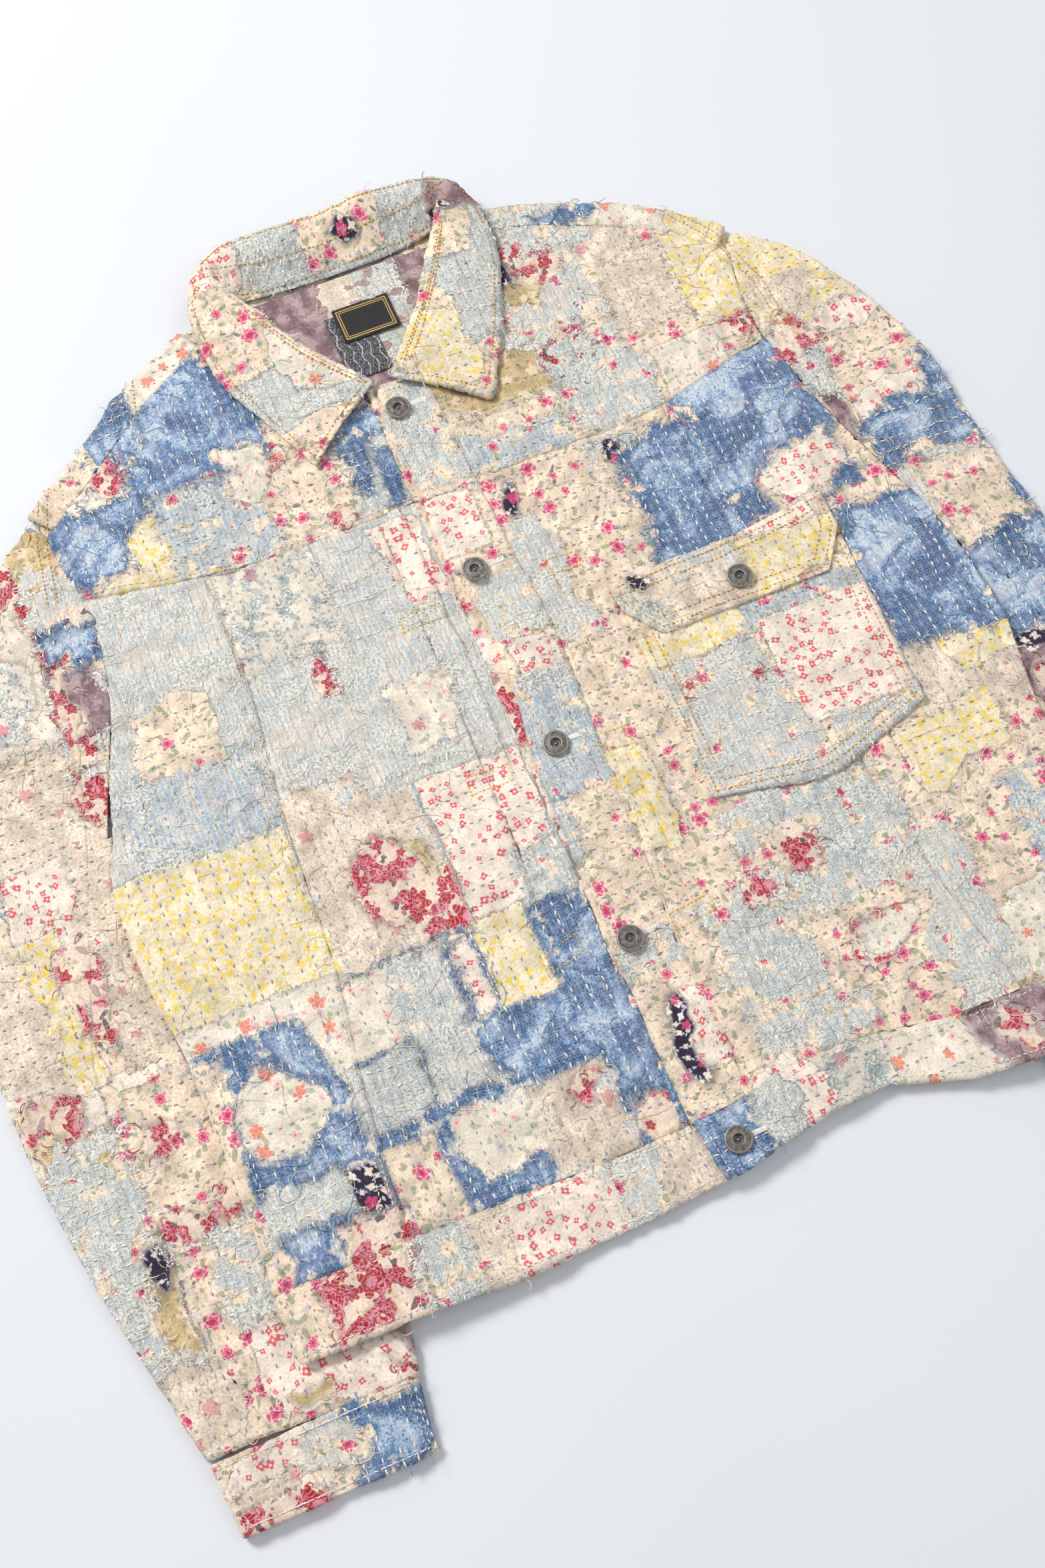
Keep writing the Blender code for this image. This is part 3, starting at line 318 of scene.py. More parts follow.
def noise(points, size, seed):
    """Smooth noise from -1 to 1 with lumps of that size, at points in millimetres."""
    grid = points / np.asarray(size, float)
    base = np.floor(grid).astype(np.int64)
    part = grid - base
    part = part * part * (3 - 2 * part)
    total = np.zeros(len(points))
    for corner in range(8):
        offset = np.array((corner & 1, corner >> 1 & 1, corner >> 2))
        weight = np.prod(np.where(offset, part, 1 - part), axis=1)
        total += weight * corner_value(base + offset, seed)
    return total


def smooth_step(low, high, values):
    share = np.clip((values - low) / (high - low), 0, 1)
    return share * share * (3 - 2 * share)


def flat_points(points):
    flat = np.zeros((len(points), 3))
    flat[:, :2] = points[:, :2]
    return flat


def line_distance(points, lines):
    """Distance in plan from each point to the nearest of the lines."""
    nearest = np.full(len(points), 1e3)
    for line in lines:
        for start, end in zip(line, line[1:]):
            start, along = np.array(start, float), np.array(end, float) - start
            share = np.clip((points[:, :2] - start) @ along / (along @ along), 0, 1)
            away = points[:, :2] - start - share[:, None] * along
            nearest = np.minimum(nearest, np.hypot(away[:, 0], away[:, 1]))
    return nearest


# Millimetres that a torn edge wanders widely and finely, and a sewn edge's share of that
WIDE_WANDER = 8
FINE_WANDER = 3
SEWN_SHARE = 0.3


def wander(points):
    """How far the patches' edges wander at these points, in millimetres."""
    flat = flat_points(points)
    wide = np.stack([noise(flat, 26, 11), noise(flat, 26, 12)], axis=1) * WIDE_WANDER
    fine = np.stack([noise(flat, 7, 13), noise(flat, 7, 14)], axis=1) * FINE_WANDER
    return wide + fine


def quilt_patches(region):
    """Seeded rows of patches for the parts that the jacket hides."""
    if region is None:
        return []
    x0, x1, y0, y1, seed = region
    chance = np.random.default_rng(seed)
    names = [name for name, share in QUILT_MIX for _ in range(share)]
    made = []
    low = y0
    while low < y1:
        high = low + chance.uniform(48, 96)
        left = x0 + chance.uniform(-40, 0)
        while left < x1:
            right = left + chance.uniform(46, 110)
            edge = "sewn" if chance.random() < 0.6 else "torn"
            made.append(Patch(str(chance.choice(names)), left, right, low, high, edge))
            left = right
        low = high
    return made


def middle_and_half(patch):
    low, high = np.array((patch.x0, patch.y0)), np.array((patch.x1, patch.y1))
    return (low + high) / 2, (high - low) / 2


def all_patches(area):
    return quilt_patches(area.quilt) + area.patches


def patch_fields(area, points):
    """Distance inside each fabric's patches in millimetres, and the patch on top at each point."""
    names = list(FABRICS)
    fields = {name: np.full(len(points), -30.0) for name in names}
    top = np.full(len(points), -1)
    shift = wander(points)
    for index, patch in enumerate(all_patches(area)):
        place = points[:, :2] + shift * (SEWN_SHARE if patch.edge == "sewn" else 1.0)
        centre, half = middle_and_half(patch)
        if patch.edge == "round":
            away = (place - centre) / half
            inside = (1 - np.hypot(away[:, 0], away[:, 1])) * half.min()
        else:
            inside = (half - np.abs(place - centre)).min(axis=1)
        inside = np.clip(inside, -30, 30)
        rank = names.index(patch.fabric)
        fields[patch.fabric] = np.maximum(fields[patch.fabric], inside)
        for name in names[rank + 1:]:
            fields[name] = np.minimum(fields[name], -inside)
        top[inside > 0] = index
    return fields, top


# Usual heights of the cloth's relief in millimetres
RIDGE_HEIGHT = 0.85
SMALL_HEIGHT = 0.5
FOLD_HEIGHT = 2.6
PUCKER_HEIGHT = 1.3


def relief(area, points, sizes):
    """Height that crinkles and patches add at these points in millimetres, and how loose it is."""
    flat = flat_points(points)
    fields, _ = patch_fields(area, points)
    base = FABRICS[area.base]
    rise = np.full(len(points), base.rise)
    crinkle = np.full(len(points), base.crinkle)
    loose = np.full(len(points), base.loose)
    lip = np.zeros(len(points))
    tug = np.zeros(len(points))
    for name, fabric in FABRICS.items():
        mask = smooth_step(-0.6, 1.4, fields[name])
        rise += (fabric.rise + 0.35 - rise) * mask
        crinkle += (fabric.crinkle - crinkle) * mask
        loose += (fabric.loose - loose) * mask
        lip = lip * (1 - mask) + np.exp(-(((fields[name] - 1.2) / 1.6) ** 2)) * 0.35
        tug = tug * (1 - mask) + np.exp(-np.abs(fields[name]) / 5) * mask
    bent = flat + 4 * np.stack(
        [noise(flat, 18, 21), noise(flat, 18, 22), np.zeros(len(points))], axis=1
    )
    ridges = 1 - 2 * np.abs(noise(bent, (8, 10, 8), 23))
    small = 1 - 2 * np.abs(noise(bent, (4.4, 5.6, 5), 24))
    folds = noise(bent, (34, 60, 40), 25) + 0.7 * noise(bent, (70, 28, 40), 26)
    seam = line_distance(points, SEAMS)
    beside = np.exp(-seam / 8)
    puckers = noise(flat, (6, 6, 6), 27) * (beside + 0.5 * tug)
    puckers -= 0.5 * np.exp(-((seam / 2.2) ** 2))
    height = (
        rise * sizes.patch_rise
        + lip * sizes.patch_rise
        + (RIDGE_HEIGHT * ridges + SMALL_HEIGHT * small) * crinkle * sizes.crinkle
        + FOLD_HEIGHT * folds * sizes.fold_rise
        + PUCKER_HEIGHT * puckers * sizes.seam_pucker
    )
    return height, loose


def merged_copy(node):
    """A copy of a solid's mesh with its corners joined. The solid itself stays as it is."""
    mesh = bmesh.new()
    mesh.from_mesh(node.data)
    bmesh.ops.remove_doubles(mesh, verts=mesh.verts, dist=0.01 * MM)
    mesh.normal_update()
    return mesh


def solids_tree():
    """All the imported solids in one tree, to see which faces lie open."""
    points, faces = [], []
    for node in frame["nodes"].values():
        start = len(points)
        points.extend(tuple(vertex.co) for vertex in node.data.vertices)
        faces.extend([start + index for index in face.vertices] for face in node.data.polygons)
    return BVHTree.FromPolygons(points, faces)


SOLIDS = solids_tree()
UP = Vector((0, 0, 1))


def lies_open(face):
    """True if nothing of the jacket lies over this face."""
    if face.normal.z < -0.35:
        return False
    place = face.calc_center_median() + face.normal * 0.4 * MM + UP * 0.2 * MM
    return SOLIDS.ray_cast(place, UP, 60 * MM)[0] is None


def split_long(mesh, longest, marked=None):
    """Halves every edge over that length, or only those of marked faces, in steps."""
    step = 60 * MM
    while step > longest:
        step = max(step / 1.42, longest)
        for _ in range(2 if step == longest else 1):
            long = [
                edge for edge in mesh.edges
                if edge.calc_length() > step
                and (marked is None or any(face[marked] for face in edge.link_faces))
            ]
            if not long:
                break
            bmesh.ops.subdivide_edges(mesh, edges=long, cuts=1)
            many = [face for face in mesh.faces if len(face.verts) > 3]
            bmesh.ops.triangulate(mesh, faces=many)


# Longest edge of the faces that lie hidden, the angle that stays sharp, and rounds of smoothing
UNDER_STEP = 14 * MM
SHARP = math.radians(38)
SMOOTHINGS = 7


def cloth_shell(node, step):
    """The solid's surface in fine faces, and how open each of its points lies."""
    mesh = merged_copy(node)
    marked = mesh.faces.layers.int.new("open")
    split_long(mesh, UNDER_STEP)
    mesh.normal_update()
    for face in mesh.faces:
        face[marked] = int(lies_open(face))
    split_long(mesh, step, marked)
    mesh.normal_update()
    loose = [
        vertex for vertex in mesh.verts
        if all(edge.calc_face_angle(3.0) < SHARP for edge in vertex.link_edges)
    ]
    for _ in range(SMOOTHINGS):
        bmesh.ops.smooth_vert(
            mesh, verts=loose, factor=0.5, use_axis_x=True, use_axis_y=True, use_axis_z=True
        )
    mesh.normal_update()
    openness = np.array([
        sum(face[marked] for face in vertex.link_faces) / len(vertex.link_faces)
        for vertex in mesh.verts
    ])
    mesh.faces.layers.int.remove(marked)
    return mesh, openness


def read_vectors(items, name):
    values = np.empty(len(items) * 3, np.float32)
    items.foreach_get(name, values)
    return values.reshape(-1, 3).astype(np.float64)


def mesh_points(mesh):
    return read_vectors(mesh.vertices, "co")


def write_values(mesh, name, values):
    attribute = mesh.attributes.new(name, "FLOAT", "POINT")
    attribute.data.foreach_set("value", np.asarray(values, np.float32))


def shown(name, mesh, material):
    """A new object of the scene with that mesh and material, shaded smooth."""
    mesh.materials.clear()
    mesh.materials.append(material)
    mesh.polygons.foreach_set("use_smooth", [True] * len(mesh.polygons))
    piece = bpy.data.objects.new(name, mesh)
    bpy.context.scene.collection.objects.link(piece)
    return piece


Cut = namedtuple(
    "Cut", "width length area rests_on held", defaults=(("back_panel",), "laid")
)


# Share of the relief where cloth lies hidden, and on pieces of smoother cloth
HIDDEN_SHARE = 0.12
CALM = {"back_neck_lining": 0.35}
# Millimetres that steep rims swell, and the lowest that any point lies
RIM_SWELL = 0.3
LOWEST = 0.05 * MM


def dressed_cloth(area, node_name, material, sizes):
    """The finer cloth that stands for one solid."""
    node = frame["nodes"][node_name]
    shell, openness = cloth_shell(node, sizes.mesh_step)
    mesh = bpy.data.meshes.new(node_name + "_cloth")
    shell.to_mesh(mesh)
    shell.free()
    points = mesh_points(mesh)
    normals = read_vectors(mesh.vertex_normals, "vector")
    plan = points / MM
    share = HIDDEN_SHARE + (1 - HIDDEN_SHARE) * openness
    share = np.where(normals[:, 2] < -0.3, 0.0, share)
    height, loose = relief(area, plan, sizes)
    height *= share * CALM.get(node_name, 1.0)
    steep = (normals[:, 2] > -0.3) & (normals[:, 2] < 0.55)
    height = np.where(steep, np.maximum(height, 0) * 0.4 + RIM_SWELL, height)
    moved = points + normals * height[:, None] * MM
    moved[:, 2] = np.maximum(moved[:, 2], LOWEST)
    mesh.vertices.foreach_set("co", moved.astype(np.float32).ravel())
    fields, _ = patch_fields(area, plan)
    for name in used_fabrics(area):
        write_values(mesh, "in_" + name, np.clip(fields[name], -12, 12))
    write_values(mesh, "loose", loose)
    # Distance to the nearest seam, which the material reads for the painted shade along seams
    write_values(mesh, "seam", np.clip(line_distance(plan, SEAMS), 0, 30))
    mesh.update()
    piece = shown(node_name + "_cloth", mesh, material)
    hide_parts(node_name)
    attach(piece, "root")
    return piece


def used_fabrics(area):
    """The fabrics of an area's patches, in the order in which they lie."""
    used = {patch.fabric for patch in all_patches(area)}
    return [name for name in FABRICS if name in used]


def joined(tree, socket, value):
    """Feeds a socket from another one, or sets its value."""
    if isinstance(value, bpy.types.NodeSocket):
        tree.links.new(value, socket)
    elif isinstance(value, tuple) and len(value) == 3 and socket.type == "RGBA":
        socket.default_value = (*value, 1.0)
    else:
        socket.default_value = value


def add(tree, kind, values=(), **settings):
    """A new shader node with its settings and inputs."""
    node = tree.nodes.new(kind)
    for name, value in settings.items():
        setattr(node, name, value)
    return given(tree, node, dict(values))


def given(tree, node, values):
    for key, value in values.items():
        joined(tree, node.inputs[key], value)
    return node


def sums(tree, operation, first, second=0.0, third=0.0):
    node = add(tree, "ShaderNodeMath", {0: first, 1: second, 2: third}, operation=operation)
    return node.outputs[0]


def vectors(tree, operation, first, second=None, scale=None):
    node = add(tree, "ShaderNodeVectorMath", {0: first}, operation=operation)
    if second is not None:
        joined(tree, node.inputs[1], second)
    if scale is not None:
        joined(tree, node.inputs["Scale"], scale)
    return node.outputs[0]


def mixed(tree, share, first, second, blend="MIX"):
    node = add(tree, "ShaderNodeMix", data_type="RGBA", blend_type=blend)
    return given(tree, node, {"Factor": share, 6: first, 7: second}).outputs[2]


def ramp(tree, value, low, high, low_to=0.0, high_to=1.0):
    node = add(
        tree, "ShaderNodeMapRange", {0: value, 1: low, 2: high, 3: low_to, 4: high_to},
        interpolation_type="SMOOTHSTEP",
    )
    return node.outputs[0]


def picked(tree, value, low, high):
    """1 where the value lies between the two numbers."""
    above = sums(tree, "GREATER_THAN", value, low)
    return part_of(tree, above, sums(tree, "LESS_THAN", value, high))


def new_group(name, inputs, outputs, kind="ShaderNodeTree"):
    """A node group, the sockets of its inputs and its output node."""
    tree = bpy.data.node_groups.new(name, kind)
    for way, sockets in (("INPUT", inputs), ("OUTPUT", outputs)):
        for socket, holds in sockets:
            tree.interface.new_socket(socket, in_out=way, socket_type="NodeSocket" + holds)
    return tree, tree.nodes.new("NodeGroupInput").outputs, tree.nodes.new("NodeGroupOutput")


def placed(tree, group, values):
    node = tree.nodes.new("ShaderNodeGroup")
    node.node_tree = group
    return given(tree, node, values)


def part_of(tree, mask, share):
    return sums(tree, "MULTIPLY", mask, share)


def plus(tree, value, share, first):
    """The first value with a share of another one added."""
    return sums(tree, "MULTIPLY_ADD", value, share, first)


def noise_node(tree, place, scale, detail, more=(), **settings):
    values = {"Vector": place, "Scale": scale, "Detail": detail, **dict(more)}
    return add(tree, "ShaderNodeTexNoise", values, **settings).outputs


def noise_at(tree, place, scale, detail, more=(), **settings):
    return noise_node(tree, place, scale, detail, more, **settings)["Fac"]


def attribute(tree, name):
    return add(tree, "ShaderNodeAttribute", attribute_name=name).outputs["Fac"]


def bumped(tree, height, strength, distance):
    values = {"Height": height, "Strength": strength, "Distance": distance * MM}
    return add(tree, "ShaderNodeBump", values).outputs[0]


def in_plan(tree):
    """The place on the piece in millimetres."""
    source = add(tree, "ShaderNodeTexCoord")
    return vectors(tree, "SCALE", source.outputs["Object"], scale=1 / MM)


def greyed(tree, colour, share):
    """A colour made darker or lighter by a share."""
    grey = add(tree, "ShaderNodeCombineColor", {0: share, 1: share, 2: share})
    return mixed(tree, 1.0, colour, grey.outputs[0], "MULTIPLY")


def new_material(name):
    """A material, its tree and its surface."""
    material = bpy.data.materials.new(name)
    material.use_nodes = True
    return material, material.node_tree, material.node_tree.nodes["Principled BSDF"]


def flower_group():
    """Flowers scattered at a pitch, each with its petals, its centre and a pair of leaves."""
    tree, start, end = new_group(
        "Scattered flowers",
        [("Place", "Vector"), ("Pitch", "Float"), ("Size", "Float"), ("Petals", "Float")],
        [("Flower", "Float"), ("Centre", "Float"), ("Leaf", "Float"), ("Ring", "Float"),
         ("Pick", "Float"), ("Kind", "Float")],
    )
    share = sums(tree, "DIVIDE", 1.0, start["Pitch"])
    place = vectors(tree, "SCALE", start["Place"], scale=share)
    cells = add(
        tree, "ShaderNodeTexVoronoi", {"Vector": place, "Scale": 1.0, "Randomness": 0.8},
        voronoi_dimensions="2D", feature="F1",
    )
    away = vectors(tree, "SUBTRACT", place, cells.outputs["Position"])
    x, y, _ = add(tree, "ShaderNodeSeparateXYZ", {0: away}).outputs
    chance = add(tree, "ShaderNodeSeparateColor", {0: cells.outputs["Color"]})
    pick, kind, turn = chance.outputs
    distance = part_of(tree, cells.outputs["Distance"], start["Pitch"])
    angle = sums(tree, "ARCTAN2", y, x)
    spin = plus(tree, turn, 6.28, part_of(tree, angle, start["Petals"]))
    petal = sums(tree, "ABSOLUTE", sums(tree, "COSINE", part_of(tree, spin, 0.5)))
    petal = plus(tree, petal, 0.42, 0.6)
    size = part_of(tree, start["Size"], ramp(tree, kind, 0, 1, 0.65, 1.1))
    radius = part_of(tree, petal, size)
    inside = sums(tree, "SUBTRACT", radius, distance)
    core = sums(tree, "SUBTRACT", part_of(tree, size, 0.3), distance)
    rings = part_of(tree, sums(tree, "COSINE", spin), 1.6)
    rings = plus(tree, distance, 2.3, rings)
    rings = plus(tree, sums(tree, "SINE", rings), 0.5, 0.5)
    lean = plus(tree, turn, 9.0, angle)
    along = sums(tree, "ABSOLUTE", part_of(tree, sums(tree, "COSINE", lean), distance))
    across = part_of(tree, sums(tree, "SINE", lean), distance)
    along = sums(tree, "DIVIDE", plus(tree, size, -1.5, along), size)
    across = sums(tree, "DIVIDE", across, part_of(tree, size, 0.34))
    reach = sums(tree, "POWER", sums(tree, "DIVIDE", along, 0.75), 2.0)
    reach = sums(tree, "ADD", reach, part_of(tree, across, across))
    given(tree, end, {
        "Flower": ramp(tree, inside, -0.25, 0.45), "Centre": ramp(tree, core, -0.2, 0.3),
        "Leaf": ramp(tree, reach, 1.15, 0.7), "Ring": rings, "Pick": pick, "Kind": kind,
    })
    return tree


def weave_group():
    """Threads over and under at a pitch in millimetres, and the diagonal ribs of a twill."""
    tree, start, end = new_group(
        "Cloth weave",
        [("Place", "Vector"), ("Pitch", "Float"), ("Twill", "Float")],
        [("Height", "Float"), ("Threads", "Float")],
    )
    step = sums(tree, "DIVIDE", TURN, start["Pitch"])
    place = vectors(tree, "SCALE", start["Place"], scale=step)
    x, y, _ = add(tree, "ShaderNodeSeparateXYZ", {0: place}).outputs
    warp = sums(tree, "SINE", x)
    weft = sums(tree, "SINE", y)
    plain = part_of(tree, warp, weft)
    slanted = sums(tree, "SINE", sums(tree, "ADD", x, part_of(tree, y, 0.8)))
    share = start["Twill"]
    height = plus(tree, slanted, share, part_of(tree, plain, sums(tree, "SUBTRACT", 1.0, share)))
    given(tree, end, {"Height": height, "Threads": sums(tree, "MAXIMUM", warp, weft)})
    return tree


def weave_at(tree, place, pitch, twill):
    values = {"Place": place, "Pitch": pitch, "Twill": twill}
    return placed(tree, made_once("weave", weave_group), values).outputs


def layer_group():
    """One cloth laid over another: its frayed edge, and the shade just outside it."""
    tree, start, end = new_group(
        "Laid cloth",
        [("Under", "Color"), ("Over", "Color"), ("Inside", "Float"), ("Rough edge", "Float"),
         ("Shade", "Float"), ("Thread", "Color")],
        [("Color", "Color")],
    )
    inside = sums(tree, "ADD", start["Inside"], start["Rough edge"])
    mask = ramp(tree, inside, -0.3, 0.5)
    shade = ramp(tree, inside, -2.6, -0.2, 0.0, 1.0)
    shade = part_of(tree, shade, start["Shade"])
    under = mixed(tree, shade, start["Under"], srgb(92, 84, 84), "MULTIPLY")
    hem = part_of(tree, ramp(tree, inside, 2.4, 0.6), 0.3)
    over = mixed(tree, hem, start["Over"], start["Thread"])
    joined(tree, end.inputs["Color"], mixed(tree, mask, under, over))
    return tree


MADE = {}


def made_once(name, make):
    if name not in MADE:
        MADE[name] = make()
    return MADE[name]


Prints = namedtuple(
    "Prints", "place small medium large mottle fleck tangle stripe rung weave gauze cloud"
)


def tangle_of(tree, place):
    """Thin curly lines, as of loose threads lying on the cloth."""
    field = noise_node(tree, place, 0.2, 1.5, noise_dimensions="2D")
    parts = add(tree, "ShaderNodeSeparateColor", {0: field["Color"]})
    lines = []
    for part in parts.outputs:
        away = sums(tree, "ABSOLUTE", sums(tree, "SUBTRACT", part, 0.5))
        lines.append(ramp(tree, away, 0.034, 0.012))
    return sums(tree, "MAXIMUM", sums(tree, "MAXIMUM", lines[0], lines[1]), lines[2])


def print_fields(tree):
    """The patterns that the fabrics share: flowers in three sizes, mottling, flecks, weave."""
    place = in_plan(tree)
    lump = noise_node(tree, place, 0.07, 2.0, noise_dimensions="2D")
    pull = vectors(tree, "SUBTRACT", lump["Color"], (0.5, 0.5, 0.5))
    pull = vectors(tree, "SCALE", pull, scale=5.0)
    bent = vectors(tree, "ADD", place, pull)
    fleck = noise_at(tree, place, 0.6, 3.0, noise_dimensions="2D")
    rough = {"Roughness": 0.6, "Distortion": 0.6}
    cloud = noise_at(tree, place, 0.034, 3.0, rough, noise_dimensions="2D")
    flowers = made_once("flowers", flower_group)
    small = placed(tree, flowers, {"Place": bent, "Pitch": 7.4, "Size": 2.6, "Petals": 4.0})
    medium = placed(tree, flowers, {"Place": bent, "Pitch": 15.0, "Size": 5.2, "Petals": 5.0})
    large = placed(tree, flowers, {"Place": bent, "Pitch": 25.0, "Size": 9.5, "Petals": 7.0})
    x, y, _ = add(tree, "ShaderNodeSeparateXYZ", {0: bent}).outputs
    stripe = sums(tree, "SINE", part_of(tree, x, TURN / 6.2))
    rung = sums(tree, "SINE", part_of(tree, y, TURN / 7.4))
    return Prints(
        place, small.outputs, medium.outputs, large.outputs, lump["Fac"],
        fleck, tangle_of(tree, bent), stripe, rung, weave_at(tree, place, 0.95, 0.6),
        weave_at(tree, bent, 1.7, 0.0), cloud,
    )


def worn(tree, prints, colour, depth):
    """The ground colour with slow mottling and fine flecks."""
    light = ramp(tree, prints.mottle, 0.3, 0.7, 1 - depth, 1 + depth * 0.5)
    fine = ramp(tree, prints.fleck, 0.32, 0.68, 1 - depth * 0.6, 1 + depth * 0.4)
    return greyed(tree, colour, part_of(tree, light, fine))


# Colours that only the prints use, and the painted shade of gauze gaps and rib valleys
TINTS = {
    "blush": srgb(240, 172, 186), "rose_heart": srgb(190, 44, 92), "peach": srgb(232, 150, 118),
    "red": srgb(214, 84, 84), "milk": srgb(240, 224, 209), "ochre_heart": srgb(222, 186, 96),
    "faint_red": srgb(206, 118, 122), "bone": srgb(230, 209, 190), "slate": srgb(134, 132, 124),
    "pale_tan": srgb(232, 214, 184), "plum": srgb(120, 90, 96), "ash_rose": srgb(190, 170, 166),
    "shell": srgb(222, 218, 208), "mist": srgb(205, 211, 210), "rib_blue": srgb(148, 172, 196),
    "rust": srgb(206, 176, 150), "gap": srgb(140, 147, 152), "light_thread": srgb(246, 242, 230),
    "worn_white": srgb(204, 212, 220),
    "deep_blue": srgb(48, 87, 136), "violet": srgb(118, 108, 158), "dry": srgb(186, 170, 160),
    "pink_stripe": srgb(218, 156, 150), "shaded_valley": srgb(150, 152, 158), "sky": srgb(196, 206, 218),
}
Motif = namedtuple("Motif", "field shape low high share colour ring", defaults=(None,))
Print = namedtuple("Print", "ground depth motifs")


def motif_rows(text):
    """Motifs from rows of flower size, shape, low, high, share, colour and the rings' colour."""
    made = []
    for words in map(str.split, text.split(",")):
        made.append(Motif(*words[:2], *map(float, words[2:5]), *words[5:]))
    return made


# Each fabric's ground colour, its mottling, and the flowers and leaves printed on it in order.
# A motif is drawn where its own random number lies between low and high.
PRINTS = {
    "rose": Print("cream", 0.16, motif_rows("""
        small Leaf 0.25 1 0.6 leaf, small Centre 0 0.25 0.8 pink, small Flower 0.7 0.9 0.45 lilac,
        medium Leaf 0.2 1 0.7 leaf, medium Leaf 0 0.08 0.7 night,
        medium Flower 0 0.42 0.9 pink blush, medium Centre 0 0.42 0.9 rose_heart
    """)),
    "twill": Print("twill", 0.12, motif_rows("""
        small Leaf 0.6 1 0.35 leaf, medium Leaf 0.5 1 0.5 leaf, medium Flower 0 0.2 0.85 peach red,
        small Centre 0 0.15 0.8 lilac, small Flower 0.4 0.62 0.55 blush,
        small Centre 0.4 0.62 0.6 red, small Flower 0.8 0.95 0.4 lilac
    """)),
    "teal": Print("twill", 0.12, motif_rows("""
        large Leaf 0.3 1 0.45 teal, medium Leaf 0.4 1 0.45 teal, small Leaf 0.3 1 0.4 teal,
        medium Flower 0 0.12 0.6 pink
    """)),
    "coral": Print("milk", 0.12, motif_rows("""
        small Leaf 0.5 1 0.35 leaf, small Flower 0 0.62 0.92 coral, small Centre 0 0.62 0.9 milk
    """)),
    "yellow": Print("butter", 0.12, motif_rows("""
        small Leaf 0 1 0.6 tan, medium Leaf 0.5 1 0.4 tan, small Flower 0 0.85 0.85 lemon,
        small Centre 0 0.4 0.7 ochre_heart
    """)),
    "taupe": Print("sand", 0.2, motif_rows("""
        medium Leaf 0.6 1 0.3 tan, medium Flower 0 0.08 0.6 faint_red
    """)),
    "crimson": Print("bone", 0.15, motif_rows("""
        medium Leaf 0 0.6 0.7 tan, large Leaf 0 0.5 0.7 mauve, medium Leaf 0.6 1 0.8 night,
        medium Flower 0 0.55 0.95 crimson faint_red, large Flower 0 0.6 0.95 crimson faint_red,
        large Centre 0 0.6 0.6 blush
    """)),
    "tan": Print("tan", 0.22, motif_rows("""
        medium Leaf 0 1 0.6 slate, medium Flower 0 0.7 0.7 pale_tan
    """)),
    "mauve": Print("mauve", 0.26, motif_rows("small Leaf 0 0.5 0.35 sky")),
    "dark": Print("night", 0.2, motif_rows("""
        small Flower 0 0.8 0.95 milk, small Leaf 0 1 0.8 sky, medium Flower 0 0.2 0.8 pink
    """)),
    "stripe": Print("shell", 0.18, []),
    "rib": Print("mist", 0.22, []),
    "gauze": Print("grey", 0.24, []),
    "indigo": Print("indigo", 0.36, []),
}


def over(tree, mask, share, made, colour):
    """Colour laid over what is made so far, by that share of a mask."""
    return mixed(tree, part_of(tree, mask, share), made, colour)


def motifs(tree, p, c, made, rows):
    for row in rows:
        field = getattr(p, row.field)
        chance = field["Kind" if row.shape == "Leaf" else "Pick"]
        mask = part_of(tree, field[row.shape], picked(tree, chance, row.low, row.high))
        colour = c[row.colour]
        if row.ring:
            colour = mixed(tree, ramp(tree, field["Ring"], 0.55, 0.95), colour, c[row.ring])
        made = over(tree, mask, row.share, made, colour)
    return made


def gauzy(tree, p, c, made, share):
    """The tangle of pale threads of a worn gauze, with painted shade in the gaps of its weave."""
    # Painted shade where the weave's threads part
    weave = ramp(tree, p.gauze["Threads"], 0.1, 0.8, share * 0.35, 0.0)
    made = mixed(tree, weave, made, c["gap"])
    # Specks of the same painted gap shade where the fine flecks run low
    made = mixed(tree, ramp(tree, p.fleck, 0.44, 0.28, 0.0, share * 0.7), made, c["gap"])
    rust = part_of(tree, ramp(tree, p.cloud, 0.56, 0.66), ramp(tree, p.fleck, 0.4, 0.6))
    made = over(tree, rust, 0.4, made, c["rust"])
    pale = part_of(tree, ramp(tree, p.cloud, 0.5, 0.4), ramp(tree, p.fleck, 0.4, 0.58))
    made = over(tree, pale, 0.8, made, c["light_thread"])
    return over(tree, p.tangle, share * 0.6, made, c["light_thread"])


def banded(tree, p, c, made, colour, share):
    bands = part_of(tree, ramp(tree, p.stripe, -0.1, 0.8), ramp(tree, p.fleck, 0.3, 0.46))
    bands = part_of(tree, bands, ramp(tree, p.cloud, 0.6, 0.48, 0.35, 1.0))
    return over(tree, bands, share, made, c[colour])


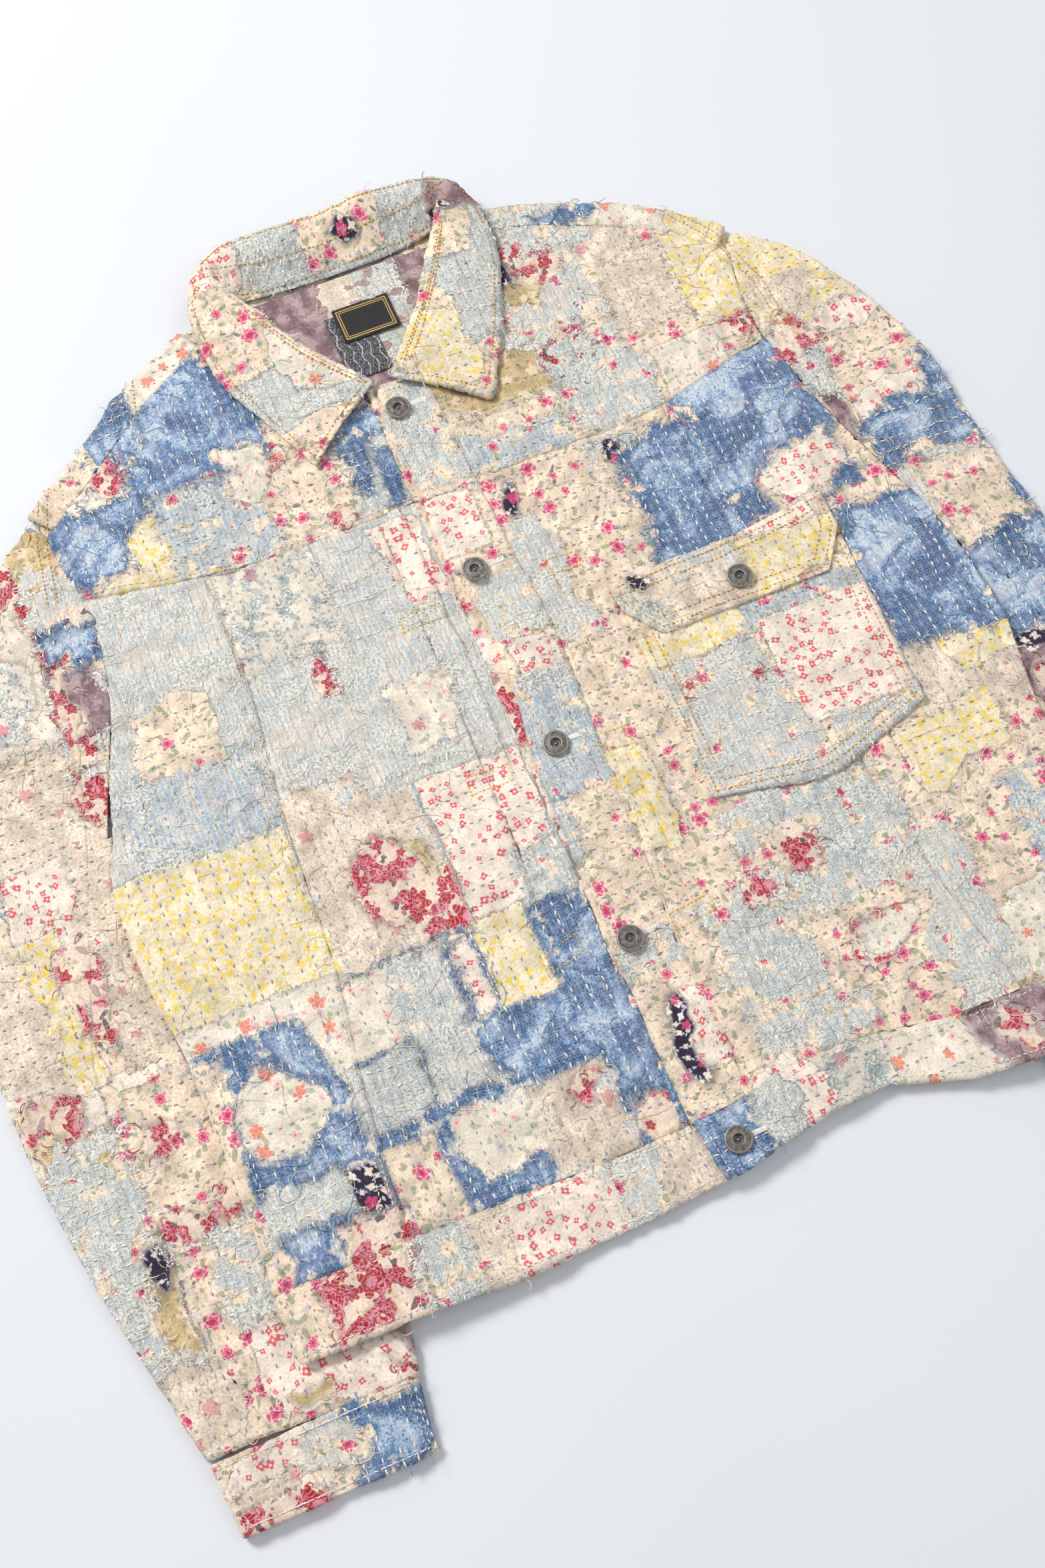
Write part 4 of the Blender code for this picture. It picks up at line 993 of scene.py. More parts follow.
def indigo_wear(tree, p, c, made, inside):
    """Faded in clouds in the middle of a patch and deep along its edges."""
    heart = ramp(tree, inside, 1.0, 8.0, 0.0, 1.0)
    cloud = plus(tree, sums(tree, "SUBTRACT", p.fleck, 0.5), 0.35, p.cloud)
    deep = ramp(tree, cloud, 0.52, 0.38, 0.0, 0.75)
    made = mixed(tree, deep, made, c["deep_blue"])
    faded = part_of(tree, ramp(tree, cloud, 0.4, 0.56), heart)
    made = over(tree, faded, 0.9, made, c["indigo_pale"])
    bright = part_of(tree, ramp(tree, cloud, 0.5, 0.68), heart)
    made = over(tree, bright, 0.8, made, c["worn_white"])
    threads = part_of(tree, ramp(tree, p.gauze["Threads"], 0.3, 0.95), heart)
    made = over(tree, threads, 0.3, made, c["worn_white"])
    made = mixed(tree, ramp(tree, p.fleck, 0.42, 0.3, 0.0, 0.4), made, c["deep_blue"])
    plum = part_of(tree, p.large["Flower"], ramp(tree, p.fleck, 0.45, 0.6, 0.0, 0.5))
    made = mixed(tree, plum, made, c["violet"])
    made = over(tree, p.tangle, 0.12, made, c["worn_white"])
    for line, dash, share in ((p.stripe, p.rung, 0.36), (p.rung, p.stripe, 0.2)):
        drawn = part_of(tree, ramp(tree, line, 0.9, 0.97), ramp(tree, dash, -0.7, -0.4))
        made = over(tree, drawn, share, made, c["worn_white"])
    return made


def printed(tree, p, c, fabric, inside):
    """The colour of one fabric, worn as it is that far inside its patch."""
    row = PRINTS[fabric]
    made = motifs(tree, p, c, worn(tree, p, c[row.ground], row.depth), row.motifs)
    if fabric == "crimson":
        blot = ramp(tree, p.mottle, 0.46, 0.43)
        made = over(tree, blot, 0.92, made, c["crimson"])
        return over(tree, part_of(tree, blot, p.tangle), 0.75, made, c["blush"])
    if fabric == "teal":
        cloud = part_of(tree, ramp(tree, p.mottle, 0.47, 0.56), ramp(tree, p.fleck, 0.4, 0.56))
        return over(tree, cloud, 0.75, made, c["teal"])
    if fabric == "taupe":
        return mixed(tree, ramp(tree, p.fleck, 0.45, 0.32, 0.0, 0.4), made, c["dry"])
    if fabric == "mauve":
        made = over(tree, ramp(tree, p.mottle, 0.45, 0.42), 0.55, made, c["plum"])
        return over(tree, ramp(tree, p.mottle, 0.56, 0.58), 0.5, made, c["ash_rose"])
    if fabric == "stripe":
        made = banded(tree, p, c, made, "stripe", 0.8)
        pinks = part_of(tree, ramp(tree, p.stripe, -0.7, -0.95), ramp(tree, p.mottle, 0.46, 0.6))
        return gauzy(tree, p, c, over(tree, pinks, 0.35, made, c["pink_stripe"]), 0.4)
    if fabric == "rib":
        return gauzy(tree, p, c, banded(tree, p, c, made, "rib_blue", 0.95), 0.35)
    if fabric == "gauze":
        threads = ramp(tree, p.gauze["Threads"], 0.2, 0.9, 0.0, 0.35)
        made = mixed(tree, threads, made, c["light_thread"])
        blue = part_of(tree, ramp(tree, p.stripe, 0.2, 0.9), ramp(tree, p.mottle, 0.5, 0.38))
        return gauzy(tree, p, c, over(tree, blue, 0.5, made, c["stripe"]), 0.7)
    if fabric == "indigo":
        return indigo_wear(tree, p, c, made, inside)
    return made


# The cloths worn through to what lies under them, and how far
HOLES = {"gauze": 70.0, "stripe": 55.0, "rib": 60.0, "indigo": 24.0, "taupe": 36.0}
# How ragged each fabric's edge is, in millimetres
RAGGED = {"indigo": 12.0, "gauze": 16.0, "stripe": 12.0, "rib": 12.0, "taupe": 10.0, "rose": 6.0}


def colour_table():
    """The colours that the user may change, as plain linear triples."""
    colours = bpy.context.scene.jacket_colours
    names = type(colours).__annotations__
    return {name: tuple(getattr(colours, name)) for name in names}


def patched_material(name, area):
    """The cloth of one area: its ground fabric, and each patch's fabric laid over it."""
    c = {**TINTS, **colour_table()}
    material, tree, surface = new_material("Patched cloth " + name)
    p = print_fields(tree)
    colour = printed(tree, p, c, area.base, 12.0)
    layer = made_once("layer", layer_group)
    jag = sums(tree, "SUBTRACT", p.fleck, 0.5)
    jag = plus(tree, p.tangle, 0.09, jag)
    for fabric in used_fabrics(area):
        inside = attribute(tree, "in_" + fabric)
        if fabric in HOLES:
            hole = sums(tree, "MAXIMUM", sums(tree, "SUBTRACT", p.mottle, 0.53), 0.0)
            inside = plus(tree, hole, -HOLES[fabric] * 2, inside)
        sewn = placed(tree, layer, {
            "Under": colour, "Over": printed(tree, p, c, fabric, inside), "Inside": inside,
            "Rough edge": part_of(tree, jag, RAGGED.get(fabric, 3.0)),
            "Shade": 0.36, "Thread": c["thread"],
        })
        colour = sewn.outputs["Color"]
    # Painted shade along the seams, where the cloth sinks: a brownish grey multiplied in near each
    # seam
    seam_shade = ramp(tree, attribute(tree, "seam"), 1.9, 0.3, 0.0, 0.15)
    colour = mixed(tree, seam_shade, colour, srgb(170, 156, 142), "MULTIPLY")
    loose = attribute(tree, "loose")
    creases = noise_at(
        tree, p.place, 0.28, 2.0, {"Roughness": 0.6}, noise_dimensions="2D",
        noise_type="RIDGED_MULTIFRACTAL",
    )
    # Painted shade in the valleys between the ribs of loose cloth, which the bump also sinks
    shaded_valley = part_of(tree, ramp(tree, p.stripe, -0.35, -0.95), loose)
    colour = mixed(tree, part_of(tree, shaded_valley, 0.18), colour, c["shaded_valley"], "MULTIPLY")
    worn_in = part_of(
        tree, ramp(tree, p.fleck, 0.36, 0.5, 0.95, 1.0),
        ramp(tree, p.cloud, 0.36, 0.62, 0.9, 1.04),
    )
    colour = greyed(tree, colour, worn_in)
    height = part_of(tree, creases, ramp(tree, loose, 0.0, 1.0, 0.24, 0.34))
    height = plus(tree, p.weave["Height"], 0.05, height)
    height = plus(tree, p.fleck, 0.5, height)
    height = plus(tree, shaded_valley, -0.32, height)
    height = plus(tree, p.tangle, ramp(tree, loose, 0.4, 1.0, 0.02, 0.2), height)
    given(tree, surface, {
        "Base Color": colour, "Normal": bumped(tree, height, 0.9, 1.0),
        "Roughness": ramp(tree, p.fleck, 0.3, 0.7, 0.95, 0.8), "Specular IOR Level": 0.2,
        "Sheen Weight": 0.15, "Sheen Roughness": 0.5,
    })
    return material


def dress(*names):
    """Makes the cloth of every solid of these areas."""
    sizes = bpy.context.scene.jacket_sizes
    for name in names:
        area = AREAS[name]
        material = patched_material(name, area)
        for node in area.nodes:
            piece = dressed_cloth(area, node, material, sizes)


class JACKET_OT_body(bpy.types.Operator):
    """Dresses the fronts, the yokes and the back"""

    bl_idname = "jacket.body"
    bl_label = "Fronts and back"

    def execute(self, context):
        dress("right_front", "left_front", "right_yoke", "left_yoke", "back")
        return {"FINISHED"}


class JACKET_OT_plackets(bpy.types.Operator):
    """Dresses the two plackets"""

    bl_idname = "jacket.plackets"
    bl_label = "Plackets"

    def execute(self, context):
        dress("placket", "placket_under")
        return {"FINISHED"}


class JACKET_OT_sleeves(bpy.types.Operator):
    """Dresses the sleeves and the cuffs"""

    bl_idname = "jacket.sleeves"
    bl_label = "Sleeves and cuffs"

    def execute(self, context):
        dress("right_sleeve", "left_sleeve", "right_cuff", "left_cuff")
        return {"FINISHED"}


class JACKET_OT_waistband(bpy.types.Operator):
    """Dresses the waistband"""

    bl_idname = "jacket.waistband"
    bl_label = "Waistband"

    def execute(self, context):
        dress("band_right", "band_left")
        return {"FINISHED"}


class JACKET_OT_pocket(bpy.types.Operator):
    """Dresses the chest pocket and its flap"""

    bl_idname = "jacket.pocket"
    bl_label = "Chest pocket"

    def execute(self, context):
        dress("pocket", "flap")
        return {"FINISHED"}


class JACKET_OT_collar(bpy.types.Operator):
    """Dresses the collar and the neck lining"""

    bl_idname = "jacket.collar"
    bl_label = "Collar and lining"

    def execute(self, context):
        dress("collar", "lining")
        return {"FINISHED"}


Row = namedtuple("Row", "thread spacing")
# Which running stitch holds each fabric down, and how far apart its rows lie in millimetres
ROWS = {
    "rose": Row("lilac", 10), "twill": Row("lilac", 11), "teal": Row("lilac", 10),
    "coral": Row("lilac", 12), "yellow": Row("lilac", 9), "taupe": Row("lilac", 8),
    "crimson": Row("lilac", 14), "tan": Row("lilac", 12), "stripe": Row("white", 13),
    "rib": Row("lilac", 11), "gauze": Row("white", 12), "indigo": Row("white", 9.5),
}
Stitch = namedtuple("Stitch", "spacing length width colour")
STITCHES = {
    "lilac": Stitch(6.2, 3.1, 0.8, "lilac"), "white": Stitch(6.0, 4.0, 1.1, "thread"),
    "ochre": Stitch(3.3, 2.7, 0.8, "ochre"), "cream": Stitch(3.8, 3.0, 0.7, "thread"),
    "lemon": Stitch(2.7, 2.3, 0.8, "lemon"),
}
# Areas that lie open, and so get stitches and strands
OPEN_AREAS = [area for name, area in AREAS.items() if name not in ("lining", "placket_under")]
# Millimetres between a row's points, the fewest points of a stretch, its height over the cloth,
# its gap from a seam, the narrowest patch that gets rows, and the share of upright rows
SAMPLE = 2.4
LEAST_RUN = 3
LIFT = 0.1
SEAM_GAP = 4
LEAST_PATCH = 14
UPRIGHT_SHARE = 0.62

Rim = namedtuple("Rim", "node thread insets")
RIMS = (
    Rim("chest_pocket", "ochre", (3.5, 10.0)), Rim("chest_pocket_flap", "ochre", (3.5, 10.5)),
    Rim("collar", "ochre", (4.0,)), Rim("cuff_right", "cream", (3.0,)),
    Rim("cuff_left", "cream", (3.0,)), Rim("waistband_right", "cream", (3.5,)),
    Rim("waistband_left", "cream", (3.5,)), Rim("placket_left", "cream", (3.5, 9.0)),
)
Seam = namedtuple("Seam", "line side thread")
SEAM_STITCHES = (
    Seam(0, 3.0, "cream"), Seam(0, 9.0, "cream"), Seam(1, -3.0, "cream"), Seam(1, -9.0, "cream"),
    Seam(3, -3.0, "cream"), Seam(4, 3.5, "cream"), Seam(5, 3.5, "cream"), Seam(7, 3.0, "ochre"),
    Seam(7, 9.0, "ochre"), Seam(8, -3.0, "ochre"), Seam(8, -9.0, "ochre"), Seam(9, 3.5, "ochre"),
)
Tack = namedtuple("Tack", "x0 x1 y0 y1 lean")
TACKS = (
    Tack(-57, -28, 112, 122, 0.0), Tack(-60, -32, -10, 2, 0.0), Tack(-58, -37, -134, -122, 0.25),
    Tack(45, 68, 112, 123, 0.0), Tack(27, 46, -16, -3, 0.0), Tack(20, 48, -138, -127, 0.1),
)


Skin = namedtuple("Skin", "tree owners")


def jacket_skin():
    """The finished cloth in one tree, and which solid each of its faces stands for."""
    points, faces, owners = [], [], []
    for piece in bpy.context.scene.objects:
        if not piece.name.endswith("_cloth"):
            continue
        start = len(points)
        points.extend(map(tuple, mesh_points(piece.data)))
        corners = np.empty(len(piece.data.loops), np.int32)
        piece.data.loops.foreach_get("vertex_index", corners)
        faces.extend((corners.reshape(-1, 3) + start).tolist())
        owners.extend([piece.name[:-len("_cloth")]] * (len(faces) - len(owners)))
    return Skin(BVHTree.FromPolygons(points, faces), owners)


def landed(plan, nodes, least_up=0.35):
    """Where points of the plan fall on the cloth: their height, or nan where they miss it."""
    made = made_once("skin", jacket_skin)
    heights = np.full(len(plan), np.nan)
    for index, (x, y) in enumerate(plan[:, :2] * MM):
        place, normal, face, _ = made.tree.ray_cast(Vector((x, y, 0.1)), -UP, 0.2)
        if place is None or normal.z < least_up:
            continue
        if nodes is None or made.owners[face] in nodes:
            heights[index] = place.z / MM
    return heights


def kept_runs(points, keep):
    """The stretches of a line of points that are kept, each of a few points at least."""
    runs, run = [], []
    for point, stays in zip(points, keep):
        if stays:
            run.append(point)
        elif run:
            runs.append(run)
            run = []
    runs.append(run)
    return [np.array(run) for run in runs if len(run) >= LEAST_RUN]


def draped_line(plan, nodes=None):
    """A line of the plan laid on the cloth, in as many stretches as it takes."""
    heights = landed(plan, nodes)
    points = np.column_stack([plan[:, :2], heights + LIFT])
    return kept_runs(points, ~np.isnan(heights))


def even_points(line, spacing, closed=False):
    """The same line with points at even distances."""
    line = np.asarray(line, float)
    if closed:
        line = np.vstack([line, line[:1]])
    steps = np.hypot(*np.diff(line[:, :2], axis=0).T)
    reach = np.concatenate([[0], np.cumsum(steps)])
    wanted = np.linspace(0, reach[-1], max(2, int(reach[-1] / spacing) + 1))
    return np.column_stack([np.interp(wanted, reach, line[:, axis]) for axis in range(2)])


def beside_line(line, side):
    """The line moved sideways, to the left of its run where side is above zero."""
    along = np.gradient(line, axis=0)
    along /= np.maximum(np.hypot(along[:, 0], along[:, 1]), 1e-6)[:, None]
    return line + side * np.column_stack([-along[:, 1], along[:, 0]])


def rim_loops(node_name, least=9):
    """The outlines of a solid's upper side, in millimetres."""
    mesh = merged_copy(frame["nodes"][node_name])
    upper = {face for face in mesh.faces if face.normal.z > 0.4}
    edges = dict.fromkeys(
        edge for edge in mesh.edges if len(upper.intersection(edge.link_faces)) == 1
    )
    loops = []
    while edges:
        first, _ = edges.popitem()
        start, tip = first.verts
        loop = [start, tip]
        while tip is not start:
            following = [edge for edge in tip.link_edges if edge in edges]
            if not following:
                break
            del edges[following[0]]
            tip = following[0].other_vert(tip)
            loop.append(tip)
        loops.append(np.array([vertex.co[:2] for vertex in loop]) / MM)
    mesh.free()
    return [loop for loop in loops if len(loop) >= least]


def rim_lines(rim):
    """Lines inside a solid's outline, at each of the rim's insets."""
    made = []
    for loop in rim_loops(rim.node):
        even = even_points(loop, 2.5)
        area = np.sum(even[:-1, 0] * even[1:, 1] - even[1:, 0] * even[:-1, 1])
        for inset in rim.insets:
            moved = beside_line(even, inset if area > 0 else -inset)
            near = line_distance(moved, [even[::3]])
            for run in kept_runs(moved, near > inset - 0.5):
                made.extend(draped_line(run, {rim.node}))
    return made


def tack_lines():
    made = []
    for tack in TACKS:
        rise = tack.lean * (tack.x1 - tack.x0)
        corners = [
            (tack.x0, tack.y0), (tack.x1, tack.y0 + rise), (tack.x1, tack.y1 + rise),
            (tack.x0, tack.y1),
        ]
        made.extend(draped_line(even_points(corners, 2.0, closed=True)))
    return made


def gather(found, more):
    """Adds each list of the second table to the first table's own."""
    for key, rows in more.items():
        found.setdefault(key, []).extend(rows)


def row_lines(area, chance):
    """Rows of running stitches, patch by patch, as lines laid on the cloth by thread."""
    boxes = np.array([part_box(node) for node in area.nodes]) / MM
    (x0, y0, _), (x1, y1, _) = boxes[:, 0].min(axis=0), boxes[:, 1].max(axis=0)
    made = {}
    regions = [(area.base, x0, x1, y0, y1)] + [patch[:5] for patch in all_patches(area)]
    for index, (fabric, x0, x1, y0, y1) in enumerate(regions):
        upright = chance.random() < UPRIGHT_SHARE
        if fabric not in ROWS or min(x1 - x0, y1 - y0) < LEAST_PATCH:
            continue
        row = ROWS[fabric]
        low, high, start, end = (x0, x1, y0, y1) if upright else (y0, y1, x0, x1)
        lines = []
        place = low + row.spacing * chance.uniform(0.3, 0.8)
        while place < high:
            along = np.arange(start, end, SAMPLE)
            across = np.full(len(along), place)
            flat = np.column_stack([across, along] if upright else [along, across])
            bend = noise(flat_points(flat), 40, 61) * 1.8
            flat[:, 0 if upright else 1] += bend
            lines.append(flat)
            place += row.spacing * chance.uniform(0.85, 1.15)
        if not lines:
            continue
        together = np.vstack(lines)
        _, top = patch_fields(area, together)
        keep = (top == index - 1) & (line_distance(together, SEAMS) > SEAM_GAP)
        heights = np.full(len(together), np.nan)
        heights[keep] = landed(together[keep], set(area.nodes))
        points = np.column_stack([together, heights + LIFT])
        first = 0
        for line in lines:
            run = slice(first, first + len(line))
            first += len(line)
            made.setdefault(row.thread, []).extend(
                kept_runs(points[run], ~np.isnan(heights[run]))
            )
    return made


def thread_material(name, colour, dark=0.88):
    """A twisted thread: its colour with slow changes and a fine twist."""
    material, tree, surface = new_material(name)
    place = in_plan(tree)
    slow = noise_at(tree, place, 0.05, 1.0)
    fine = noise_at(tree, place, 2.6, 1.0)
    deep = tuple(part * dark for part in colour)
    made = mixed(tree, ramp(tree, slow, 0.35, 0.65), colour, deep)
    given(tree, surface, {
        "Base Color": greyed(tree, made, ramp(tree, fine, 0.3, 0.7, 0.92, 1.12)),
        "Normal": bumped(tree, fine, 0.3, 0.08), "Roughness": 0.85, "Specular IOR Level": 0.2,
    })
    return material


TAPER = 0.5


def tube_along(points, radius, sides):
    """Corners and faces of a closed tube along the points, thinner at both ends."""
    points = np.asarray(points, float)
    along = np.gradient(points, axis=0)
    along /= np.linalg.norm(along, axis=1)[:, None]
    side = np.cross(along, (0.03, 0.05, 1.0))
    side /= np.linalg.norm(side, axis=1)[:, None]
    over = np.cross(side, along)
    share = np.linspace(-1, 1, len(points))
    thick = radius * (1 - TAPER * np.abs(share) ** 3)
    corners, faces = [], []
    for index, point in enumerate(points):
        for turn in range(sides):
            angle = 2 * math.pi * turn / sides
            way = side[index] * math.cos(angle) + over[index] * math.sin(angle)
            corners.append(tuple(point + way * thick[index]))
    for index in range(len(points) - 1):
        for turn in range(sides):
            a, b = index * sides + turn, index * sides + (turn + 1) % sides
            faces.append((a, a + sides, b + sides, b))
    last = (len(points) - 1) * sides
    faces.append(tuple(range(sides)))
    faces.append(tuple(last + turn for turn in reversed(range(sides))))
    return corners, faces


def thread_mesh(name, points, radius, sides):
    mesh = bpy.data.meshes.new(name)
    corners, faces = tube_along(points, radius, sides)
    mesh.from_pydata(corners, [], faces)
    outward = bmesh.new()
    outward.from_mesh(mesh)
    bmesh.ops.recalc_face_normals(outward, faces=outward.faces)
    outward.to_mesh(mesh)
    outward.free()
    return bpy.data.objects.new(name, mesh)


def geometry_tree(name, sockets):
    """A Geometry Nodes tree, the sockets of its inputs and its output node."""
    shape = [("Geometry", "Geometry")]
    return new_group(name, shape + sockets, shape, "GeometryNodeTree")


def random_value(tree, low, high, seed):
    node = add(tree, "FunctionNodeRandomValue", {2: low, 3: high, "Seed": seed}, data_type="FLOAT")
    return node.outputs[1]


def coated(tree, end, geometry, material):
    """Ends a tree with real geometry of that material."""
    real = add(tree, "GeometryNodeRealizeInstances", {"Geometry": geometry})
    given(tree, end, {0: add(tree, "GeometryNodeSetMaterial", {
        "Geometry": real.outputs[0], "Material": material,
    }).outputs[0]})


def stitch_tree():
    """Stitches at even distances along lines, each a copy of one thread."""
    tree, start, end = geometry_tree("Stitches along lines", [
        ("Spacing", "Float"), ("Stitch", "Object"), ("Thread", "Material"), ("Missing", "Float"),
    ])
    curve = add(tree, "GeometryNodeMeshToCurve", {"Mesh": start["Geometry"]})
    even = add(
        tree, "GeometryNodeResampleCurve",
        {"Curve": curve.outputs[0], "Length": start["Spacing"]}, mode="LENGTH",
    )
    stitch = add(tree, "GeometryNodeObjectInfo", {"Object": start["Stitch"]})
    tangent = add(tree, "GeometryNodeInputTangent")
    flat = add(
        tree, "FunctionNodeAlignRotationToVector", {"Vector": tangent.outputs[0]},
        axis="X", pivot_axis="Z",
    )
    sloped = add(
        tree, "FunctionNodeAlignRotationToVector",
        {"Rotation": flat.outputs[0], "Vector": tangent.outputs[0]}, axis="X",
    )
    turn = add(tree, "FunctionNodeAxisAngleToRotation", {
        "Axis": (0, 0, 1), "Angle": random_value(tree, -0.3, 0.3, 3),
    })
    turned = add(
        tree, "FunctionNodeRotateRotation", {0: sloped.outputs[0], 1: turn.outputs[0]},
        rotation_space="LOCAL",
    )
    stays = add(
        tree, "FunctionNodeCompare",
        {0: random_value(tree, 0.0, 1.0, 11), 1: start["Missing"]},
        data_type="FLOAT", operation="GREATER_THAN",
    )
    copies = add(tree, "GeometryNodeInstanceOnPoints", {
        "Points": even.outputs[0], "Instance": stitch.outputs["Geometry"],
        "Rotation": turned.outputs[0], "Scale": random_value(tree, 0.75, 1.15, 7),
        "Selection": stays.outputs[0],
    })
    coated(tree, end, copies.outputs[0], start["Thread"])
    return tree


def fray_tree():
    """Copies of one thread at loose points, each turned as its point says."""
    tree, start, end = geometry_tree("Loose threads", [
        ("Curl", "Object"), ("Thread", "Material"), ("Seed", "Int"),
    ])
    curl = add(tree, "GeometryNodeObjectInfo", {"Object": start["Curl"]})
    heading = add(
        tree, "GeometryNodeInputNamedAttribute", {"Name": "heading"}, data_type="FLOAT",
    )
    turn = add(tree, "ShaderNodeCombineXYZ", {
        1: random_value(tree, -0.7, 0.35, start["Seed"]), 2: heading.outputs[0],
    })
    copies = add(tree, "GeometryNodeInstanceOnPoints", {
        "Points": start["Geometry"], "Instance": curl.outputs["Geometry"],
        "Rotation": turn.outputs[0], "Scale": random_value(tree, 0.55, 1.3, 5),
    })
    coated(tree, end, copies.outputs[0], start["Thread"])
    return tree


def grown(name, mesh, tree, inputs, material):
    """The plain mesh that a Geometry Nodes tree makes from a mesh, as a finished piece."""
    holder = bpy.data.objects.new(name + "_lines", mesh)
    bpy.context.scene.collection.objects.link(holder)
    modifier = holder.modifiers.new("Made", "NODES")
    modifier.node_group = tree
    for socket in tree.interface.items_tree:
        if socket.in_out == "INPUT" and socket.name in inputs:
            modifier[socket.identifier] = inputs[socket.name]
    bpy.context.view_layer.update()
    graph = bpy.context.evaluated_depsgraph_get()
    made = bpy.data.meshes.new_from_object(holder.evaluated_get(graph))
    bpy.data.objects.remove(holder)
    made.name = name
    piece = shown(name, made, material)
    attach(piece, "root")
    return piece


def stitched(name, lines, kind):
    """Stitches of one kind along those lines."""
    stitch = STITCHES[kind]
    mesh = lines_mesh(name, lines)
    half = stitch.length / 2
    share = np.linspace(-1, 1, 4)
    bow = np.column_stack([share * half, share * 0, 0.4 - 0.8 * share ** 4]) * MM
    thread = thread_mesh(name + "_stitch", bow, stitch.width / 2 * MM, 4)
    colour = colour_table()[stitch.colour]
    material = thread_material(name.replace("_", " "), colour)
    piece = grown(name, mesh, made_once("stitch tree", stitch_tree), {
        "Spacing": stitch.spacing * MM, "Stitch": thread, "Thread": material,
        "Missing": 0.12 if kind in ("lilac", "white") else 0.02,
    }, material)


class JACKET_OT_running_stitches(bpy.types.Operator):
    """Sews the rows of running stitches that hold the patches"""

    bl_idname = "jacket.running_stitches"
    bl_label = "Running stitches"

    def execute(self, context):
        chance = np.random.default_rng(17)
        lines = {}
        for area in OPEN_AREAS:
            gather(lines, row_lines(area, chance))
        for thread, rows in lines.items():
            stitched("running_stitches_" + thread, rows, thread)
        return {"FINISHED"}


class JACKET_OT_topstitches(bpy.types.Operator):
    """Sews the topstitching along edges and seams, and the yellow box tacks"""

    bl_idname = "jacket.topstitches"
    bl_label = "Topstitches"

    def execute(self, context):
        lines = {}
        for rim in RIMS:
            lines.setdefault(rim.thread, []).extend(rim_lines(rim))
        for seam in SEAM_STITCHES:
            even = even_points(SEAMS[seam.line], 2.5)
            lines.setdefault(seam.thread, []).extend(draped_line(beside_line(even, seam.side)))
        lines["lemon"] = tack_lines()
        for thread, rows in lines.items():
            stitched("topstitches_" + thread, rows, thread)
        return {"FINISHED"}


Fray = namedtuple("Fray", "colour spacing")
# Loose threads along the torn edges of each fabric: their colour and how far apart they stand
FRAYS = {
    "rose": Fray("thread", 6.4), "twill": Fray("thread", 7.0), "teal": Fray("thread", 6.4),
    "coral": Fray("thread", 8.0), "yellow": Fray("cream", 7.0), "taupe": Fray("sand", 5.4),
    "crimson": Fray("crimson", 9.0), "tan": Fray("tan", 7.0), "mauve": Fray("mauve", 7.0),
    "stripe": Fray("thread", 4.4), "rib": Fray("stripe", 4.4), "gauze": Fray("grey", 3.8),
    "indigo": Fray("indigo_pale", 2.2),
}
CURLS = 4
CURL_POINTS = 6
CURL_RADIUS = 0.26 * MM


def curl_points(chance, reach, droop):
    """A curly thread from the origin along X."""
    heading, place = 0.0, np.zeros(3)
    made = [place.copy()]
    bend = chance.uniform(-1.2, 1.2)
    for index in range(CURL_POINTS - 1):
        heading += bend + chance.uniform(-0.5, 0.5)
        step = reach / (CURL_POINTS - 1)
        place = place + step * np.array((math.cos(heading), math.sin(heading), 0))
        lift = 0.9 * math.sin(math.pi * (index + 1) / (CURL_POINTS - 1)) - droop * index * 0.04
        made.append(np.array((place[0], place[1], lift)))
    return np.array(made)


def edge_points(patch, spacing, chance):
    """Points along a patch's edge and the way out of the patch at each, in the plan."""
    if patch.edge == "round":
        turn = np.linspace(0, 2 * math.pi, 48, endpoint=False)
        centre, half = middle_and_half(patch)
        loop = centre + np.column_stack([np.cos(turn), np.sin(turn)]) * half
    else:
        loop = np.array([
            (patch.x0, patch.y0), (patch.x1, patch.y0), (patch.x1, patch.y1),
            (patch.x0, patch.y1),
        ])
    even = even_points(loop, spacing, closed=True)
    outward = even - beside_line(even, 1.0)
    shift = wander(even) * (SEWN_SHARE if patch.edge == "sewn" else 1.0)
    jitter = chance.uniform(-1.6, 1.6, even.shape)
    heading = np.arctan2(outward[:, 1], outward[:, 0]) + chance.uniform(-1.1, 1.1, len(even))
    return even - shift + jitter, heading


def fray_points(area, chance):
    """Loose threads' places and headings along this area's edges, by colour."""
    made = {}
    for patch in all_patches(area):
        fray = FRAYS.get(patch.fabric)
        if fray is None:
            continue
        spacing = fray.spacing * (2.6 if patch.edge == "sewn" else 1.0)
        plan, heading = edge_points(patch, spacing, chance)
        fields, _ = patch_fields(area, plan)
        near = np.abs(fields[patch.fabric]) < 3.2
        heights = np.full(len(plan), np.nan)
        heights[near] = landed(plan[near], set(area.nodes), 0.2)
        for point, way, height in zip(plan, heading, heights):
            if not math.isnan(height):
                made.setdefault(fray.colour, []).append((point[0], point[1], height, way))
    return made


class JACKET_OT_loose_threads(bpy.types.Operator):
    """Lays the curly threads that hang out of the torn edges"""

    bl_idname = "jacket.loose_threads"
    bl_label = "Loose threads"

    def execute(self, context):
        chance = np.random.default_rng(23)
        found = {}
        for area in AREAS.values():
            gather(found, fray_points(area, chance))
        curls = [
            thread_mesh(f"curl_{index}", curl_points(chance, 7.5, 0.6) * MM, CURL_RADIUS, 3)
            for index in range(CURLS)
        ]
        for colour, rows in found.items():
            tone = colour_table()[colour]
            material = thread_material("Loose threads " + colour, tone)
            rows = np.array(rows)
            which = chance.integers(0, CURLS, len(rows))
            for index, curl in enumerate(curls):
                lay_threads(f"loose_threads_{colour}_{index}", rows[which == index], curl, material)
        return {"FINISHED"}


